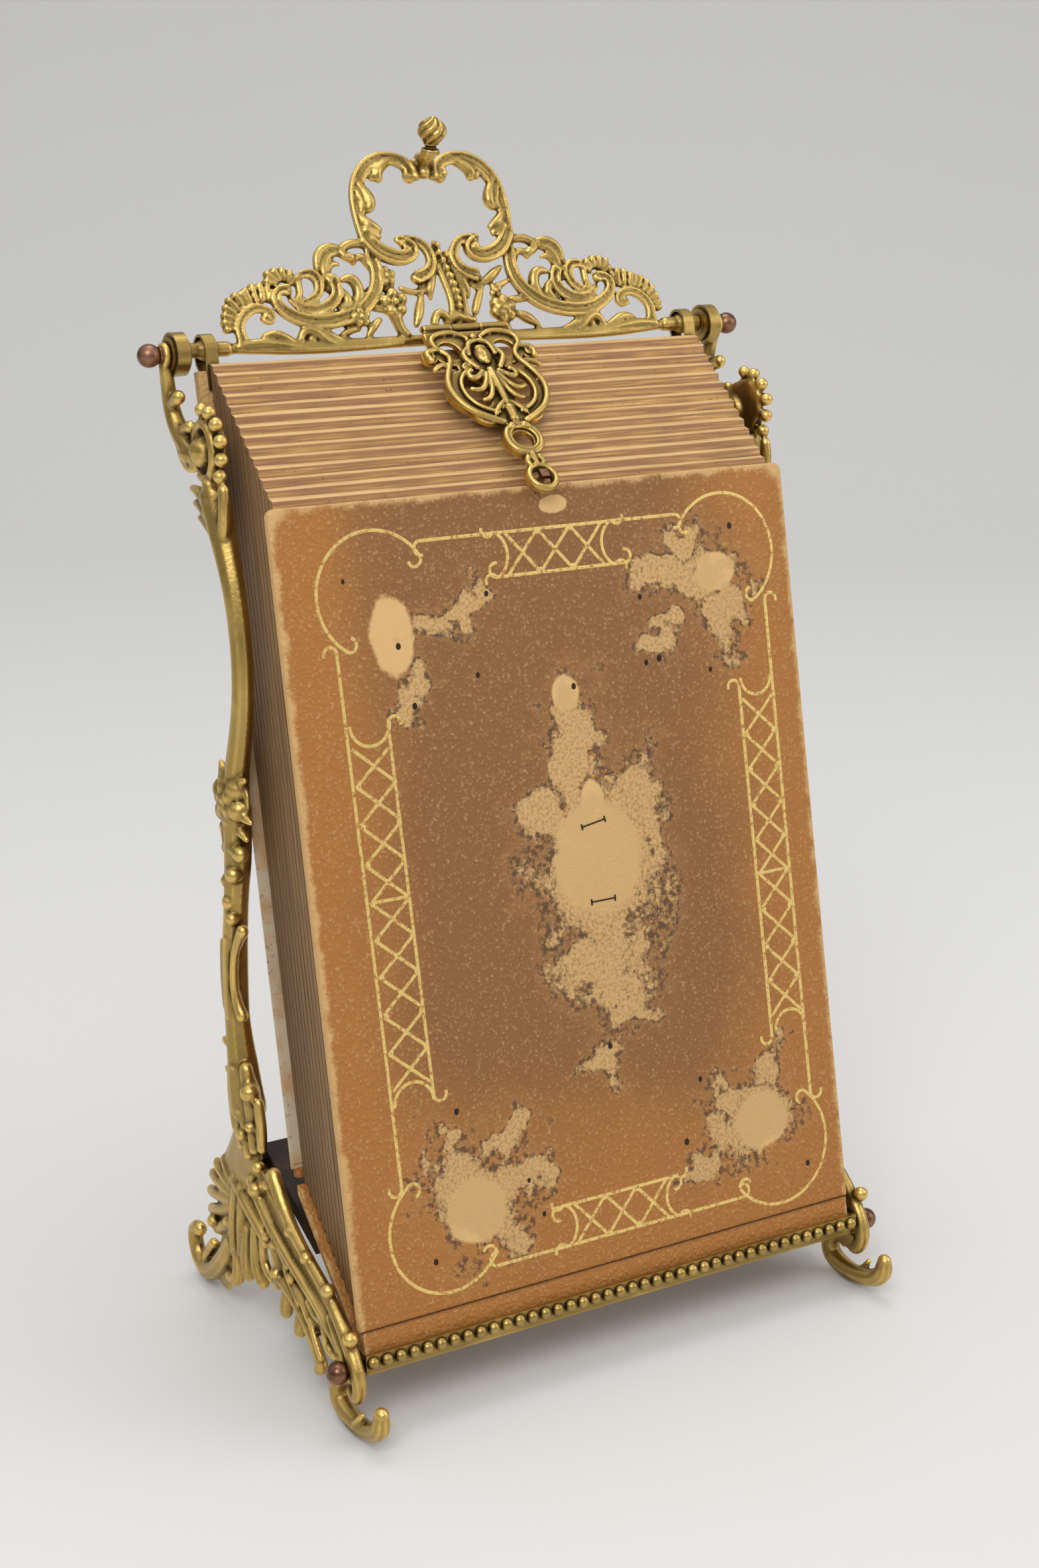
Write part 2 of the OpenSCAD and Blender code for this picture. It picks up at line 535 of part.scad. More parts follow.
// Turned disc nut with a stepped rim between the eye and the crest
module disc_nut() {
    span = eye_x - eye_t / 2 - rail_half - 0.05;
    at_top_screws() translate([rail_half, 0, 0]) rotate([0, 90, 0]) difference() {
        union() {
            cylinder(h = span, r = disc_r * 0.5);
            translate([0, 0, (span - disc_l) / 2 + 1]) cylinder(h = disc_l - 2, r = disc_r);
            translate([0, 0, (span - disc_l) / 2]) cylinder(h = disc_l, r = disc_r * 0.8);
        }
        translate([0, 0, -1]) cylinder(h = span + 2, r = screw_r + pin_gap);
    }
}

module disc_nut_left() {
    color(brass) mirror([1, 0, 0]) disc_nut();
}

module disc_nut_right() {
    color(brass) disc_nut();
}

// Beaded strip with a ledge bar behind it
module front_rail() {
    half = inner_at(ledge_z - ledge_h);
    pitch = 2 * half / bead_count;
    strip_z = ledge_z + 2.2 - strip_h;
    color(brass) translate([0, -foot_ahead, 0]) difference() {
        union() {
            translate([-half, -strip_ahead, strip_z]) cube([2 * half, strip_t, strip_h]);
            translate([-half, -strip_ahead + strip_t - 0.1, ledge_z - ledge_h]) cube([2 * half, ledge_d, ledge_h]);
            for (k = [0:bead_count - 1])
                translate([-half + (k + 0.5) * pitch, -strip_ahead, strip_z + strip_h / 2]) sphere(bead_r, $fn = 24);
        }
        for (s = [-1, 1]) translate([s * half, rail_screw_y, rail_screw_z]) rotate([0, 90, 0])
            cylinder(h = 30, r = screw_r + pin_gap, center = true);
    }
}

// Ball-headed screw that holds the front rail to the right frame
module rail_screw() {
    seat = frame_x + pad_rise + rail_screw_z * tan(splay) + 0.05;
    translate([0, rail_screw_y - foot_ahead, rail_screw_z]) ball_screw(seat, 14);
}

module rail_screw_left() {
    color(copper) mirror([1, 0, 0]) rail_screw();
}

module rail_screw_right() {
    color(copper) rail_screw();
}

// Round bar that carries the rear of the rest board, with a tenon in each frame
module rear_rail() {
    half = inner_at(rear_rail_z - rear_rail_r);
    color(brass) translate([0, rear_rail_y - foot_ahead, rear_rail_z]) rotate([0, 90, 0]) {
        cylinder(h = 2 * half, r = rear_rail_r, center = true);
        cylinder(h = 2 * (half + frame_back + frame_face), r = tenon_r, center = true);
    }
}

// Board under the rear half of the spine, lying on the rear rail and touching the spine with its front edge
module rest_board() {
    top = [rear_rail_y, rear_rail_z] + (rear_rail_r + board_t) * along(board_slope + 90);
    reach = cross_2(top - spine_end, along(leaf_slope - lean)) / cross_2(along(board_slope), along(leaf_slope - lean));
    color(board_brown) translate([0, rear_rail_y - foot_ahead, rear_rail_z]) rotate([board_slope, 0, 0])
        translate([-board_w / 2, 0.1 - reach, rear_rail_r]) cube([board_w, reach + 3.9, board_t]);
}

// Stack of leaves, each raised above the one in front, joined inside by the spine's glue.
// The gilt top edges slope with the block, because it slumped after it was trimmed.
module page_block() {
    inset = 3.2;
    color(gilt) on_slope() {
        for (i = [0:leaf_count - 1])
            translate([-leaf_w / 2, cover_t + i * leaf_pitch + leaf_slit, (i + 1) * leaf_step])
                rotate([90, 0, 90]) linear_extrude(leaf_w)
                    polygon([[0, 0], [leaf_t, 0], [leaf_t, cover_h], [leaf_t - 0.5, cover_h], [0, cover_h - leaf_bevel]]);
        translate([-leaf_w / 2 + inset, 0, 0]) rotate([90, 0, 90]) linear_extrude(leaf_w - 2 * inset)
            polygon([[cover_t + leaf_slit + 1, 2 * leaf_step + inset], [block_d - 1, block_rise + inset],
                [block_d - 1, block_rise + cover_h - 2 * leaf_step - inset],
                [cover_t + leaf_slit + 1, cover_h - inset]]);
    }
}

// Leather under the leaves, turned up in front to the fold of the cover
module spine_strip() {
    fold = crease_h - 0.12;
    inner = cover_t - 0.2;
    rest = (ledge_z + 0.03 - foot_height) / cos(lean);
    rest_end = (rest - spine_end_z + block_d * tan(leaf_slope)) / (tan(leaf_slope) - tan(lean));
    sole = rest + inner * tan(lean) + 1;
    sole_end = block_d - (spine_end_z + spine_drop - 0.04 - sole) / tan(leaf_slope);
    color(leather) on_slope() translate([-cover_w / 2 + 1, 0, 0]) rotate([90, 0, 90]) linear_extrude(cover_w - 2)
        polygon([[0, rest], [0, fold], [inner, fold], [inner, sole], [sole_end, sole],
            [block_d, spine_end_z + spine_drop - 0.04], [block_d, spine_end_z], [rest_end, rest + rest_end * tan(lean)]]);
}

// Leather board of the front cover above its fold, with a hole for the stud in its top edge
module front_cover() {
    color(leather) difference() {
        on_slope() translate([-cover_w / 2, 0, crease_h]) cube([cover_w, cover_t, cover_h - crease_h]);
        on_clasp() translate([0, -clasp_reach, 0]) cylinder(h = 2 * stud_depth + 0.4, r = stud_r + pin_gap, center = true);
    }
}

// Rear cover, narrower below, where the leather of its edges is gone
module rear_cover() {
    lower = 107.5;
    color(leather) on_slope() translate([0, rear_face + lining_t, 0]) {
        translate([-lower, 0, block_rise - 2]) cube([2 * lower, cover_t, rear_cover_h + 2]);
        translate([-cover_w / 2, 0, block_rise + rear_cover_h - 55]) cube([cover_w, cover_t, 55]);
    }
}

// Paper pasted on the rear cover, reaching past its sides
module rear_lining() {
    color(paper) on_slope() translate([-cover_w / 2, rear_face, block_rise + 2])
        cube([cover_w, lining_t, rear_cover_h - 46]);
}

// Loose card between the last leaf and the lining
module loose_card() {
    color(paper) on_slope() translate([-cover_w / 2 + 0.6, block_d + leaf_slit, block_rise + 4])
        cube([60, card_t, 64]);
}

// Outline of a bent strap along a path, of even thickness
module strap(path, t) {
    last = len(path) - 1;
    edge = [for (i = [0:last]) let (h = heading(path, i)) [-sin(h), cos(h)] * t / 2];
    polygon(concat([for (i = [0:last]) path[i] + edge[i]], [for (i = [last:-1:0]) path[i] - edge[i]]));
}

// Strap hooked over the crest's right bulb, with one leg before and one behind the rear cover's top edge
module hanger() {
    bulb_y = top_screw_y + rail_rise * sin(crest_lean);
    bulb_z = top_screw_z + rail_rise * cos(crest_lean) - foot_height;
    bulb = [bulb_y * cos(lean) - bulb_z * sin(lean), bulb_y * sin(lean) + bulb_z * cos(lean)];
    front_y = block_d + 0.9;
    hook_r = bulb[0] - front_y;
    back_y = rear_face + lining_t + cover_t + 0.6;
    cover_top = block_rise + rear_cover_h;
    on_slope() translate([101.8, 0, 0]) rotate([90, 0, 90]) linear_extrude(4.8)
        strap(concat([[front_y, cover_top - 7]], [for (a = [180:-20:0]) bulb + hook_r * along(a)],
            [[bulb[0] + hook_r - 1, bulb[1] - 5], [back_y, cover_top - 3], [back_y, cover_top - 20]]), 1);
}

module hanger_left() {
    color(brass) mirror([1, 0, 0]) hanger();
}

module hanger_right() {
    color(brass) hanger();
}

// Places what it holds on the clasp's hinge line, with Y up its slope and Z out of it
module on_clasp() {
    translate([0, hinge_y - foot_ahead, hinge_z]) rotate([clasp_slope, 0, 0]) children();
}

// Knuckle of the clasp's hinge between two places along X
module knuckle(from, to) {
    translate([from, 0, 0]) rotate([0, 90, 0]) cylinder(h = to - from, r = barrel_r);
}

// Plate on the crest's rail, with the middle knuckle of the clasp's hinge
module hinge_plate() {
    rail_face = crest_face * sin(60) + 0.03;
    color(brass) difference() {
        union() {
            on_clasp() knuckle(-knuckle_half, knuckle_half);
            on_crest() {
                translate([-13, -0.8, rail_face]) cube([26, 3.4, 1.2]);
                translate([-knuckle_half, hinge_v - barrel_r, rail_face]) cube([2 * knuckle_half, 2 * barrel_r, hinge_out - rail_face]);
            }
        }
        on_clasp() rotate([0, 90, 0]) cylinder(h = barrel_l + 4, r = hinge_pin_r + pin_gap / 2, center = true);
    }
}

module hinge_pin() {
    color(brass) on_clasp() rotate([0, 90, 0]) cylinder(h = barrel_l + 1, r = hinge_pin_r, center = true);
}

// Flat ring of the clasp
module ring(x, y, outer, inner) {
    translate([x, y]) difference() {
        circle(outer);
        circle(inner);
    }
}

// Outline of the clasp's openwork, with its holes
module clasp_outline() {
    difference() {
        union() {
            translate([-19.5, -9]) square([39, 6.4]);
            for (s = [-1, 1]) {
                translate([s * 12, -12]) circle(7.6);
                translate([s * 21.6, -14.6]) circle(3.2);
                translate([s * 11, -32.8]) circle(10.8);
                translate([s * 8, -41]) circle(8);
                translate([s * 9, -21]) circle(3);
            }
            translate([-3.8, -44]) square([7.6, 38]);
            translate([-5, -52]) square([10, 12]);
            translate([0, -57.6]) circle(8.3);
            translate([-2.6, -72]) square([5.2, 10]);
            translate([0, -clasp_reach]) circle(clasp_eye_r);
        }
        for (s = [-1, 1]) {
            translate([s * 12, -12.4]) circle(4.6);
            translate([s * 10, -30.6]) circle(5.4);
            translate([s * 9.2, -36.4]) circle(4.6);
        }
        translate([0, -57.6]) circle(4.2);
        translate([0, -clasp_reach]) circle(clasp_eye_hole_r);
    }
}

module clasp() {
    color(brass) on_clasp() difference() {
        union() {
            translate([0, 0, -clasp_back]) linear_extrude(clasp_back + 1) clasp_outline();
            for (s = [-1, 1]) {
                translate([s > 0 ? knuckle_half + 0.15 : -barrel_l / 2, 0, 0]) knuckle(0, barrel_l / 2 - knuckle_half - 0.15);
                translate([s > 0 ? knuckle_half + 0.15 : -barrel_l / 2, -4, -clasp_back])
                    cube([barrel_l / 2 - knuckle_half - 0.15, 4, clasp_back + 0.6]);
                translate([s * 8.8, -21.4, 0]) cylinder(h = clasp_face + 0.2, r = 2);
                translate([s * 21.6, -14.6, 0]) cylinder(h = clasp_face, r = 2);
            }
            translate([0, -16.5, 0.5]) sphere(3.3);
            translate([0, -25, 0.3]) sphere(2.7);
            translate([0, -33, 0.1]) sphere(2.3);
        }
        rotate([0, 90, 0]) cylinder(h = barrel_l + 4, r = hinge_pin_r + pin_gap, center = true);
    }
}

// Square-headed stud in the top edge of the front cover
module clasp_stud() {
    color(copper) on_clasp() translate([0, -clasp_reach, 0]) {
        translate([0, 0, -stud_depth]) cylinder(h = stud_depth + 1.6, r = stud_r);
        translate([-stud_head / 2, -stud_head / 2, 1.5]) cube([stud_head, stud_head, 1.8]);
    }
}

side_frame_left();
side_frame_right();
crest();
flame_finial();
top_screw_left();
top_screw_right();
disc_nut_left();
disc_nut_right();
front_rail();
rail_screw_left();
rail_screw_right();
rear_rail();
rest_board();
page_block();
spine_strip();
rear_cover();
rear_lining();
loose_card();
hanger_left();
hanger_right();
hinge_plate();
hinge_pin();
clasp();
clasp_stud();
front_cover();
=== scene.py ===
"""Looks of an old leather photo album in a cast brass display stand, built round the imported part."""

import math

import bmesh
import bpy
from bpy.props import FloatProperty, FloatVectorProperty, PointerProperty
from mathutils import Matrix, Vector, noise


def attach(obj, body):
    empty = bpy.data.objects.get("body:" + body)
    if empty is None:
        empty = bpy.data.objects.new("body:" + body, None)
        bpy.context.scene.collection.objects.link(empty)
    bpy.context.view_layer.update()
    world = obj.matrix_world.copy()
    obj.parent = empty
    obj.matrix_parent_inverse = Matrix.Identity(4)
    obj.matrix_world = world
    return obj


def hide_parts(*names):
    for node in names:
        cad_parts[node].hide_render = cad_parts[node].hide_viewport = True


bl_info = {
    "name": "Photo album in a brass stand",
    "version": (1, 0, 0),
    "blender": (4, 5, 0),
    "location": "3D View > Sidebar > Album",
    "description": "Dresses the album, its stand and the stage",
    "category": "Add Mesh",
}

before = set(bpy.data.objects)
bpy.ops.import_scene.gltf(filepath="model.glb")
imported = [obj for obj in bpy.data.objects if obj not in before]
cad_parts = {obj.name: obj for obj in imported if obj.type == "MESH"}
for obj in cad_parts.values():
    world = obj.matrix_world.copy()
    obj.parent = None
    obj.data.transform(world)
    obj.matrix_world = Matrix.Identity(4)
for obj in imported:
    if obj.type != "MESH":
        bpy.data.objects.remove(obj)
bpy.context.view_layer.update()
MM = 0.001

# The album leans back by this angle about its foot
LEAN = math.radians(11.7)
FOOT = Vector((0.0, -63.0, 30.3)) * MM
COVER_WIDE_MM = 220.0
COVER_HIGH_MM = 303.5
COVER_MIDDLE_MM = COVER_WIDE_MM / 2
# The cover's fold lies this far up its slope
FOLD_MM = 8.5
LEAF_WIDE_MM = 212.0
LEAF_PITCH_MM = 2.88
LEAF_RISE_MM = 3.93
LEAVES_START_MM = 3.9
COVER_WIDTH = COVER_WIDE_MM * MM
COVER_HEIGHT = COVER_HIGH_MM * MM
COVER_THICKNESS = 3.8 * MM
FOLD = FOLD_MM * MM
LEAVES = 14
LEAF_THICKNESS = 2.7 * MM
LEAF_PITCH = LEAF_PITCH_MM * MM
LEAF_RISE = LEAF_RISE_MM * MM
LEAF_WIDTH = LEAF_WIDE_MM * MM
LEAF_BEVEL = 1.2 * MM
SLOPE = Matrix.Translation(FOOT) @ Matrix.Rotation(-LEAN, 4, "X")
# The clasp's own plane: its hinge is the origin, Y runs up its slope and Z out of it
CLASP = Matrix.Translation(Vector((0.0, 53.714, 379.982)) * MM) @ Matrix.Rotation(math.radians(41.2), 4, "X")
# Planes of the castings: X to the right or to the front, Y up, Z out of the face
CREST = Matrix.Translation(Vector((0.0, 59.6, 375.5)) * MM) @ Matrix.Rotation(math.radians(66), 4, "X")
FINIAL_SEAT = Matrix.Translation(Vector((0.0, 71.0, 9.8)) * MM)
FINIAL = CREST @ FINIAL_SEAT @ Matrix.Rotation(math.radians(-55), 4, "X")
LEFT_FRAME = (
    Matrix.Translation(Vector((-112.3, -63.0, 0.0)) * MM)
    @ Matrix.Rotation(math.radians(-0.53), 4, "Y")
    @ Matrix.Rotation(math.radians(-90), 4, "Z")
    @ Matrix.Rotation(math.radians(90), 4, "X")
)

# Strands of the castings. Each strand is a run of points: across, up, reach and lift, in millimetres, in the
# casting's own plane, with the lift towards its face. The crest's are drawn to the right and mirrored.
WING = [
    [(31, 37.8, 1.6, 0.8), (30.2, 33.5, 2.1, 0.8), (29.3, 28.5, 2.4, 0.8), (30, 23, 2.5, 0.8),
     (32.7, 18, 2.5, 0.8), (37.2, 13.5, 2.6, 0.8), (43.5, 10.2, 2.7, 0.8), (53, 8.3, 2.7, 0.8),
     (60.5, 8.5, 2.6, 0.8), (67, 10.8, 2.4, 0.8), (71.8, 14.3, 2.2, 0.9), (73.7, 18.2, 2.0, 1.2),
     (71.3, 22, 1.8, 1.6), (67.8, 21.2, 2.1, 2.0)],
    [(49.3, 25.2, 2.1, 1.8), (47.3, 21.5, 2.3, 1.4), (48.7, 17.2, 2.3, 1.0), (53.5, 13.8, 2.2, 0.8),
     (59.5, 12.9, 1.9, 0.8), (64.5, 15, 1.5, 0.8), (67, 18, 1.1, 0.8)],
    [(63, 16.3, 1.1, 1.0), (57.8, 17, 1.6, 1.2), (54.6, 20.8, 1.8, 1.4), (54.6, 25.2, 2.0, 1.5),
     (57.8, 28, 2.0, 1.6), (61.5, 26.8, 1.3, 1.8)],
    [(79.2, 11, 1.7, 1.4), (77, 9.4, 1.5, 1.2), (75.3, 11.6, 1.4, 1.0), (77, 14.3, 1.5, 1.0),
     (81.5, 15.4, 1.7, 1.0), (86.2, 13.5, 1.8, 1.0), (89.2, 10.2, 1.7, 1.0), (90, 6.6, 1.9, 1.0),
     (89.3, 3, 2.1, 0.6), (89, 0.8, 2.3, 0.4)],
]
WING_LEAVES = [
    [(31, 38, 1.6, 0.8), (35, 39, 1.9, 0.9), (39.5, 38.4, 2.0, 1.0), (42.5, 36, 1.8, 1.2),
     (41.5, 33.4, 1.8, 1.5), (39.3, 33, 2.0, 1.8)],
    [(32, 30, 1.6, 0.8), (33.5, 33.5, 1.5, 1.0), (36.5, 33.6, 1.5, 1.2), (38.2, 31.2, 1.3, 1.0)],
    [(42, 12.5, 2.1, 0.8), (38.6, 17, 2.4, 1.0), (38.3, 22, 2.4, 1.4), (41, 25.6, 2.3, 1.8),
     (44.5, 24.6, 1.3, 1.8)],
    [(49, 10.5, 1.9, 0.8), (44.5, 14, 2.2, 1.2), (43.3, 18, 2.0, 1.6), (46, 20.6, 1.2, 1.8)],
    [(52.4, 25.2, 1.1, 2.0), (49.3, 25.4, 1.8, 2.2)],
    [(41.5, 36.4, 1.3, 1.0), (45.5, 38, 1.8, 1.2), (50, 37, 1.9, 1.4), (53.4, 33.6, 1.8, 1.4),
     (53.6, 29.4, 1.4, 1.2)],
    [(43, 35.4, 1.3, 0.8), (47.5, 35, 1.8, 1.2), (50.6, 31.2, 1.9, 1.4), (51.6, 26, 1.8, 1.2),
     (51, 21.5, 1.5, 0.8)],
    [(44.6, 30.7, 0.9, 1.2), (47.4, 31.5, 1.5, 1.4), (49.8, 28.4, 1.6, 1.2), (50.5, 25, 1.3, 0.8)],
    [(62.3, 26.4, 1.3, 1.2), (62.6, 22.5, 1.6, 1.0), (62.4, 19.5, 1.5, 0.8), (65, 17, 1.3, 0.8)],
    [(80.5, 4.6, 1.1, 1.4), (77.5, 5.3, 1.8, 1.6), (73.5, 4, 2.1, 1.5), (69.5, 1.8, 1.6, 1.2),
     (66, 0.8, 0.9, 1.0)],
    [(91, 1.2, 1.7, 1.0), (84, 2.2, 2.1, 1.2), (76, 1.2, 2.1, 1.2), (68, -0.4, 1.7, 1.2),
     (60, -0.8, 1.1, 1.2)],
    [(66.5, 1.6, 1.4, 1.2), (65.5, 4.8, 1.8, 1.4), (62.3, 6.3, 2.0, 1.6), (59, 4.6, 2.1, 1.6),
     (56.5, 1.8, 1.9, 1.4), (52.5, -0.2, 1.5, 1.2), (46, -0.6, 0.9, 1.0)],
    [(57.5, 4.8, 1.4, 1.4), (54.5, 3.6, 1.9, 1.4), (51, 1.8, 1.6, 1.2), (47, 1, 0.9, 1.0)],
    [(60, 6.5, 2.1, 0.6), (61, 3, 2.3, 0.4), (62, 0.6, 2.0, 0.2)],
    [(0, 0, 2.2, 0), (60, -0.2, 2.6, 0), (84, 0.4, 2.4, 0), (95, 1, 1.9, 0), (101, 1, 2.4, 0)],
    [(24, -1.4, 1.2, 1), (44, -1.8, 1.5, 1.2), (62, -1.8, 1.7, 1.2), (80, -1.2, 1.5, 1),
     (92, -0.2, 1.0, 1)],
]
# Ribs of the three shells of a wing: two ends each
RIBS = [
    ((65.5, 24.3), (63, 25.9)), ((66.3, 25.3), (65, 28.5)), ((68, 26), (68, 29.6)), ((69.8, 25.8),
    (71.2, 29.5)),
    ((71, 25), (74.2, 28.4)), ((71.8, 23.8), (75, 25.4)),
    ((75.5, 18.3), (75.3, 22.8)), ((78, 18.3), (78.2, 24)), ((80.5, 18.0), (81.4, 23.7)), ((83, 17.5),
    (84.4, 22.2)),
    ((84.5, 17.3), (86.2, 21)), ((86.5, 16.6), (88.8, 20.6)), ((88.5, 15.3), (91.5, 18.9)), ((90, 13.6),
    (93.3, 16.2)),
    ((91, 11.8), (94.4, 13.2)), ((91.5, 10), (95, 10.4)), ((91.3, 8.2), (94.6, 7.8)),
]
HANDLE = [
    [(30.5, 39, 2.6, 0.4), (31.9, 47, 2.3, 0.4), (31.9, 56, 2.4, 0.4), (29.6, 63.5, 2.6, 0.4),
     (25, 69, 2.7, 0.4), (18.8, 71.9, 2.6, 0.4), (12.8, 72, 2.4, 0.4), (8, 70.2, 2.4, 0.6),
     (6, 67, 2.6, 1.0), (6.6, 64.5, 2.9, 1.4)],
    [(31, 41, 2.5, 0.8), (28, 36, 2.9, 1.0), (22.5, 32.6, 3.0, 1.2), (16.8, 31.6, 2.8, 1.4),
     (12.6, 33.4, 2.5, 1.6), (12.4, 36.4, 2.3, 1.9), (15.4, 37.6, 2.2, 2.2)],
    [(17.5, 39.6, 1.4, 1.0), (12.5, 39.8, 1.6, 1.0), (7.4, 37.6, 1.8, 1.2), (4.8, 33, 1.9, 1.3),
     (5.6, 28.4, 2.0, 1.5), (9, 25, 2.3, 1.6), (13, 24, 2.5, 1.8)],
]
HANDLE_LEAVES = [
    [(14, 71, 1.6, 1.0), (18.5, 68.8, 2.4, 1.4), (21, 65.8, 2.6, 1.6), (20.2, 64, 1.9, 1.4)],
    [(26, 67.5, 1.2, 1.0), (23.5, 65.6, 1.6, 1.4), (22.8, 64.0, 1.3, 1.4)],
    [(29.6, 63, 1.5, 1.2), (27.4, 59, 2.2, 1.6), (25.8, 55, 2.7, 1.8), (26.6, 51.6, 2.1, 1.6),
     (29, 51.4, 1.2, 1.2)],
    [(31, 60, 1.0, 1.8), (29.6, 56, 1.3, 2.2), (28.6, 52.4, 1.1, 2.0)],
    [(31.4, 50, 1.4, 1.0), (29.4, 46.8, 2.2, 1.4), (26.4, 44.6, 2.2, 1.6), (24.4, 43.6, 1.4, 1.4)],
    [(30, 43.5, 2.5, 1.0), (26.6, 41.6, 2.0, 1.2), (25, 41, 1.3, 1.2)],
    [(3.4, 33, 1.4, 1.2), (4.8, 27, 1.7, 1.2), (7.4, 21, 2.1, 1.2), (8.4, 17.4, 1.5, 1.0),
     (8.2, 15.5, 0.7, 0.8)],
    [(6.6, 27, 1.1, 1.0), (9.4, 21.4, 1.3, 1.0), (13.4, 19, 1.1, 0.8)],
    [(3.2, 70.4, 1.7, 1.0), (3.9, 66.8, 2.0, 1.4), (3.4, 64.2, 1.5, 1.2)],
]
# Parts of the crest that have no mirror image
MIDDLE = [
    [(0, 72, 2.5, 1.2), (0, 68.5, 2.8, 1.8), (0, 65.6, 2.5, 1.8)],
    [(0, 68.5, 2.8, 1.5), (0, 70.4, 3.0, 4.6), (0, 70.8, 3.0, 7.6)],
    [(-1.4, 37.6, 1.6, 0.6), (-0.2, 30, 2.1, 0.6), (2, 22, 2.3, 0.6), (3, 14, 2.1, 0.6),
     (2, 6, 1.9, 0.4), (1, 1, 2.0, 0.2)],
    [(-3.8, 35, 1.1, 1.2), (-2.6, 28, 1.3, 1.4), (-0.8, 20, 1.3, 1.4), (0.4, 13, 1.3, 1.2),
     (-0.8, 8, 1.6, 1.2)],
    [(2.6, 34, 1.1, 1.2), (4, 27, 1.3, 1.4), (5.8, 20, 1.3, 1.4), (6, 13, 1.3, 1.2), (5.4, 8, 1.6, 1.2)],
    [(-8.8, 6, 1.9, 0.8), (-8, 9.2, 1.9, 1.2), (-5, 10.2, 1.9, 1.5), (-3.4, 8, 1.6, 1.5)],
    [(-3, 6.6, 2.0, 0.8), (0.6, 9, 2.2, 1.2), (4, 7.2, 2.0, 1.0), (8.4, 6.6, 1.6, 0.8)],
    [(-11.5, 18.5, 0.9, 0.8), (-13.4, 14, 2.0, 1.2), (-15.4, 9, 2.2, 1.4), (-17, 5.6, 1.2, 1.2)],
    [(-20, 20.4, 1.3, 0.8), (-15, 17.4, 1.5, 1.0), (-9, 19.6, 1.3, 0.8)],
    [(-34, 20.4, 1.3, 0.8), (-29, 20.8, 1.3, 0.8), (-24, 21, 1.3, 0.8)],
    [(-38.5, 16.4, 1.5, 0.8), (-34, 13, 1.7, 1.0), (-29, 12.6, 1.7, 1.0)],
    [(-37.5, 3, 1.2, 0.8), (-35, 6.6, 2.4, 1.4), (-32, 8.4, 1.2, 1.2)],
    [(-49.5, 3, 1.0, 0.8), (-45, 5.6, 1.9, 1.2), (-41.5, 5.4, 1.2, 1.0)],
    [(-25, 9, 2.6, 1.4), (-24.4, 4.4, 1.9, 1.0), (-22, 2.2, 2.2, 0.8)],
    [(25.2, 27.4, 1.0, 1.0), (22.2, 25.4, 2.1, 1.4), (18.2, 22.4, 2.1, 1.4), (13.4, 20.2, 1.1, 1.0)],
    [(27.4, 8.6, 1.3, 1.0), (31, 7, 2.5, 1.4), (34.6, 4.8, 1.9, 1.2), (37, 3.2, 0.9, 1.0)],
    [(27, 21.6, 1.1, 0.8), (22, 19.6, 1.6, 1.0)], [(27, 14, 1.7, 0.8), (33, 14.4, 1.7, 0.8)],
    [(10, 10, 1.7, 0.8), (12, 15, 2.1, 1.2), (14.5, 19, 1.3, 1.0)], [(22, 5, 2.0, 0.6),
     (23, 1.5, 1.8, 0.4)],
]
BEADS = [
    (-1.2, 36.6), (-1.2, 33.6), (-0.2, 30.5), (0.8, 27.3), (1.8, 24.1), (2.5, 20.9), (3, 17.8),
    (3.1, 14.8), (2.8, 12),
]
# Flowers: middle, reach of the whole flower, number of petals and lift
FLOWERS = [
    (-25, 14.5, 6.4, 5, 2.0), (-40, 9.5, 4.4, 5, 2.0), (-25.5, 25.2, 4.4, 5, 1.4),
    (21.6, 10, 6.4, 6, 2.0), (20.6, 17.6, 3.4, 4, 1.2),
]

# Left side frame, drawn with its front to the right and its outer face up
FRAME_PLATES = [
    [(-84, 102, 9, 0), (-86, 86, 12, 0), (-92, 70, 14, 0), (-100, 55, 17, 0), (-104, 44, 17, 0),
     (-106, 34, 13, 0)],
    [(-92, 62, 12, 0), (-89, 48, 12, 0), (-86, 37, 10, 0)],
    [(-84, 66, 10, 0), (-70, 60, 10, 0), (-57, 53, 10, 0), (-45, 47, 11, 0), (-33, 41, 11, 0),
     (-23, 34, 10, 0), (-13, 27, 9, 0), (-6, 20, 7, 0)],
    [(-58, 42, 7, 0), (-50, 38, 7, 0), (-40, 33, 7, 0)],
    [(-105, 30, 9, 0), (-112, 21, 10, 0), (-118, 13, 9, 0)],
    [(-90, 218, 10, 0), (-84, 219, 10, 0)], [(-98, 344, 11, 0), (-92, 347, 10, 0)],
]
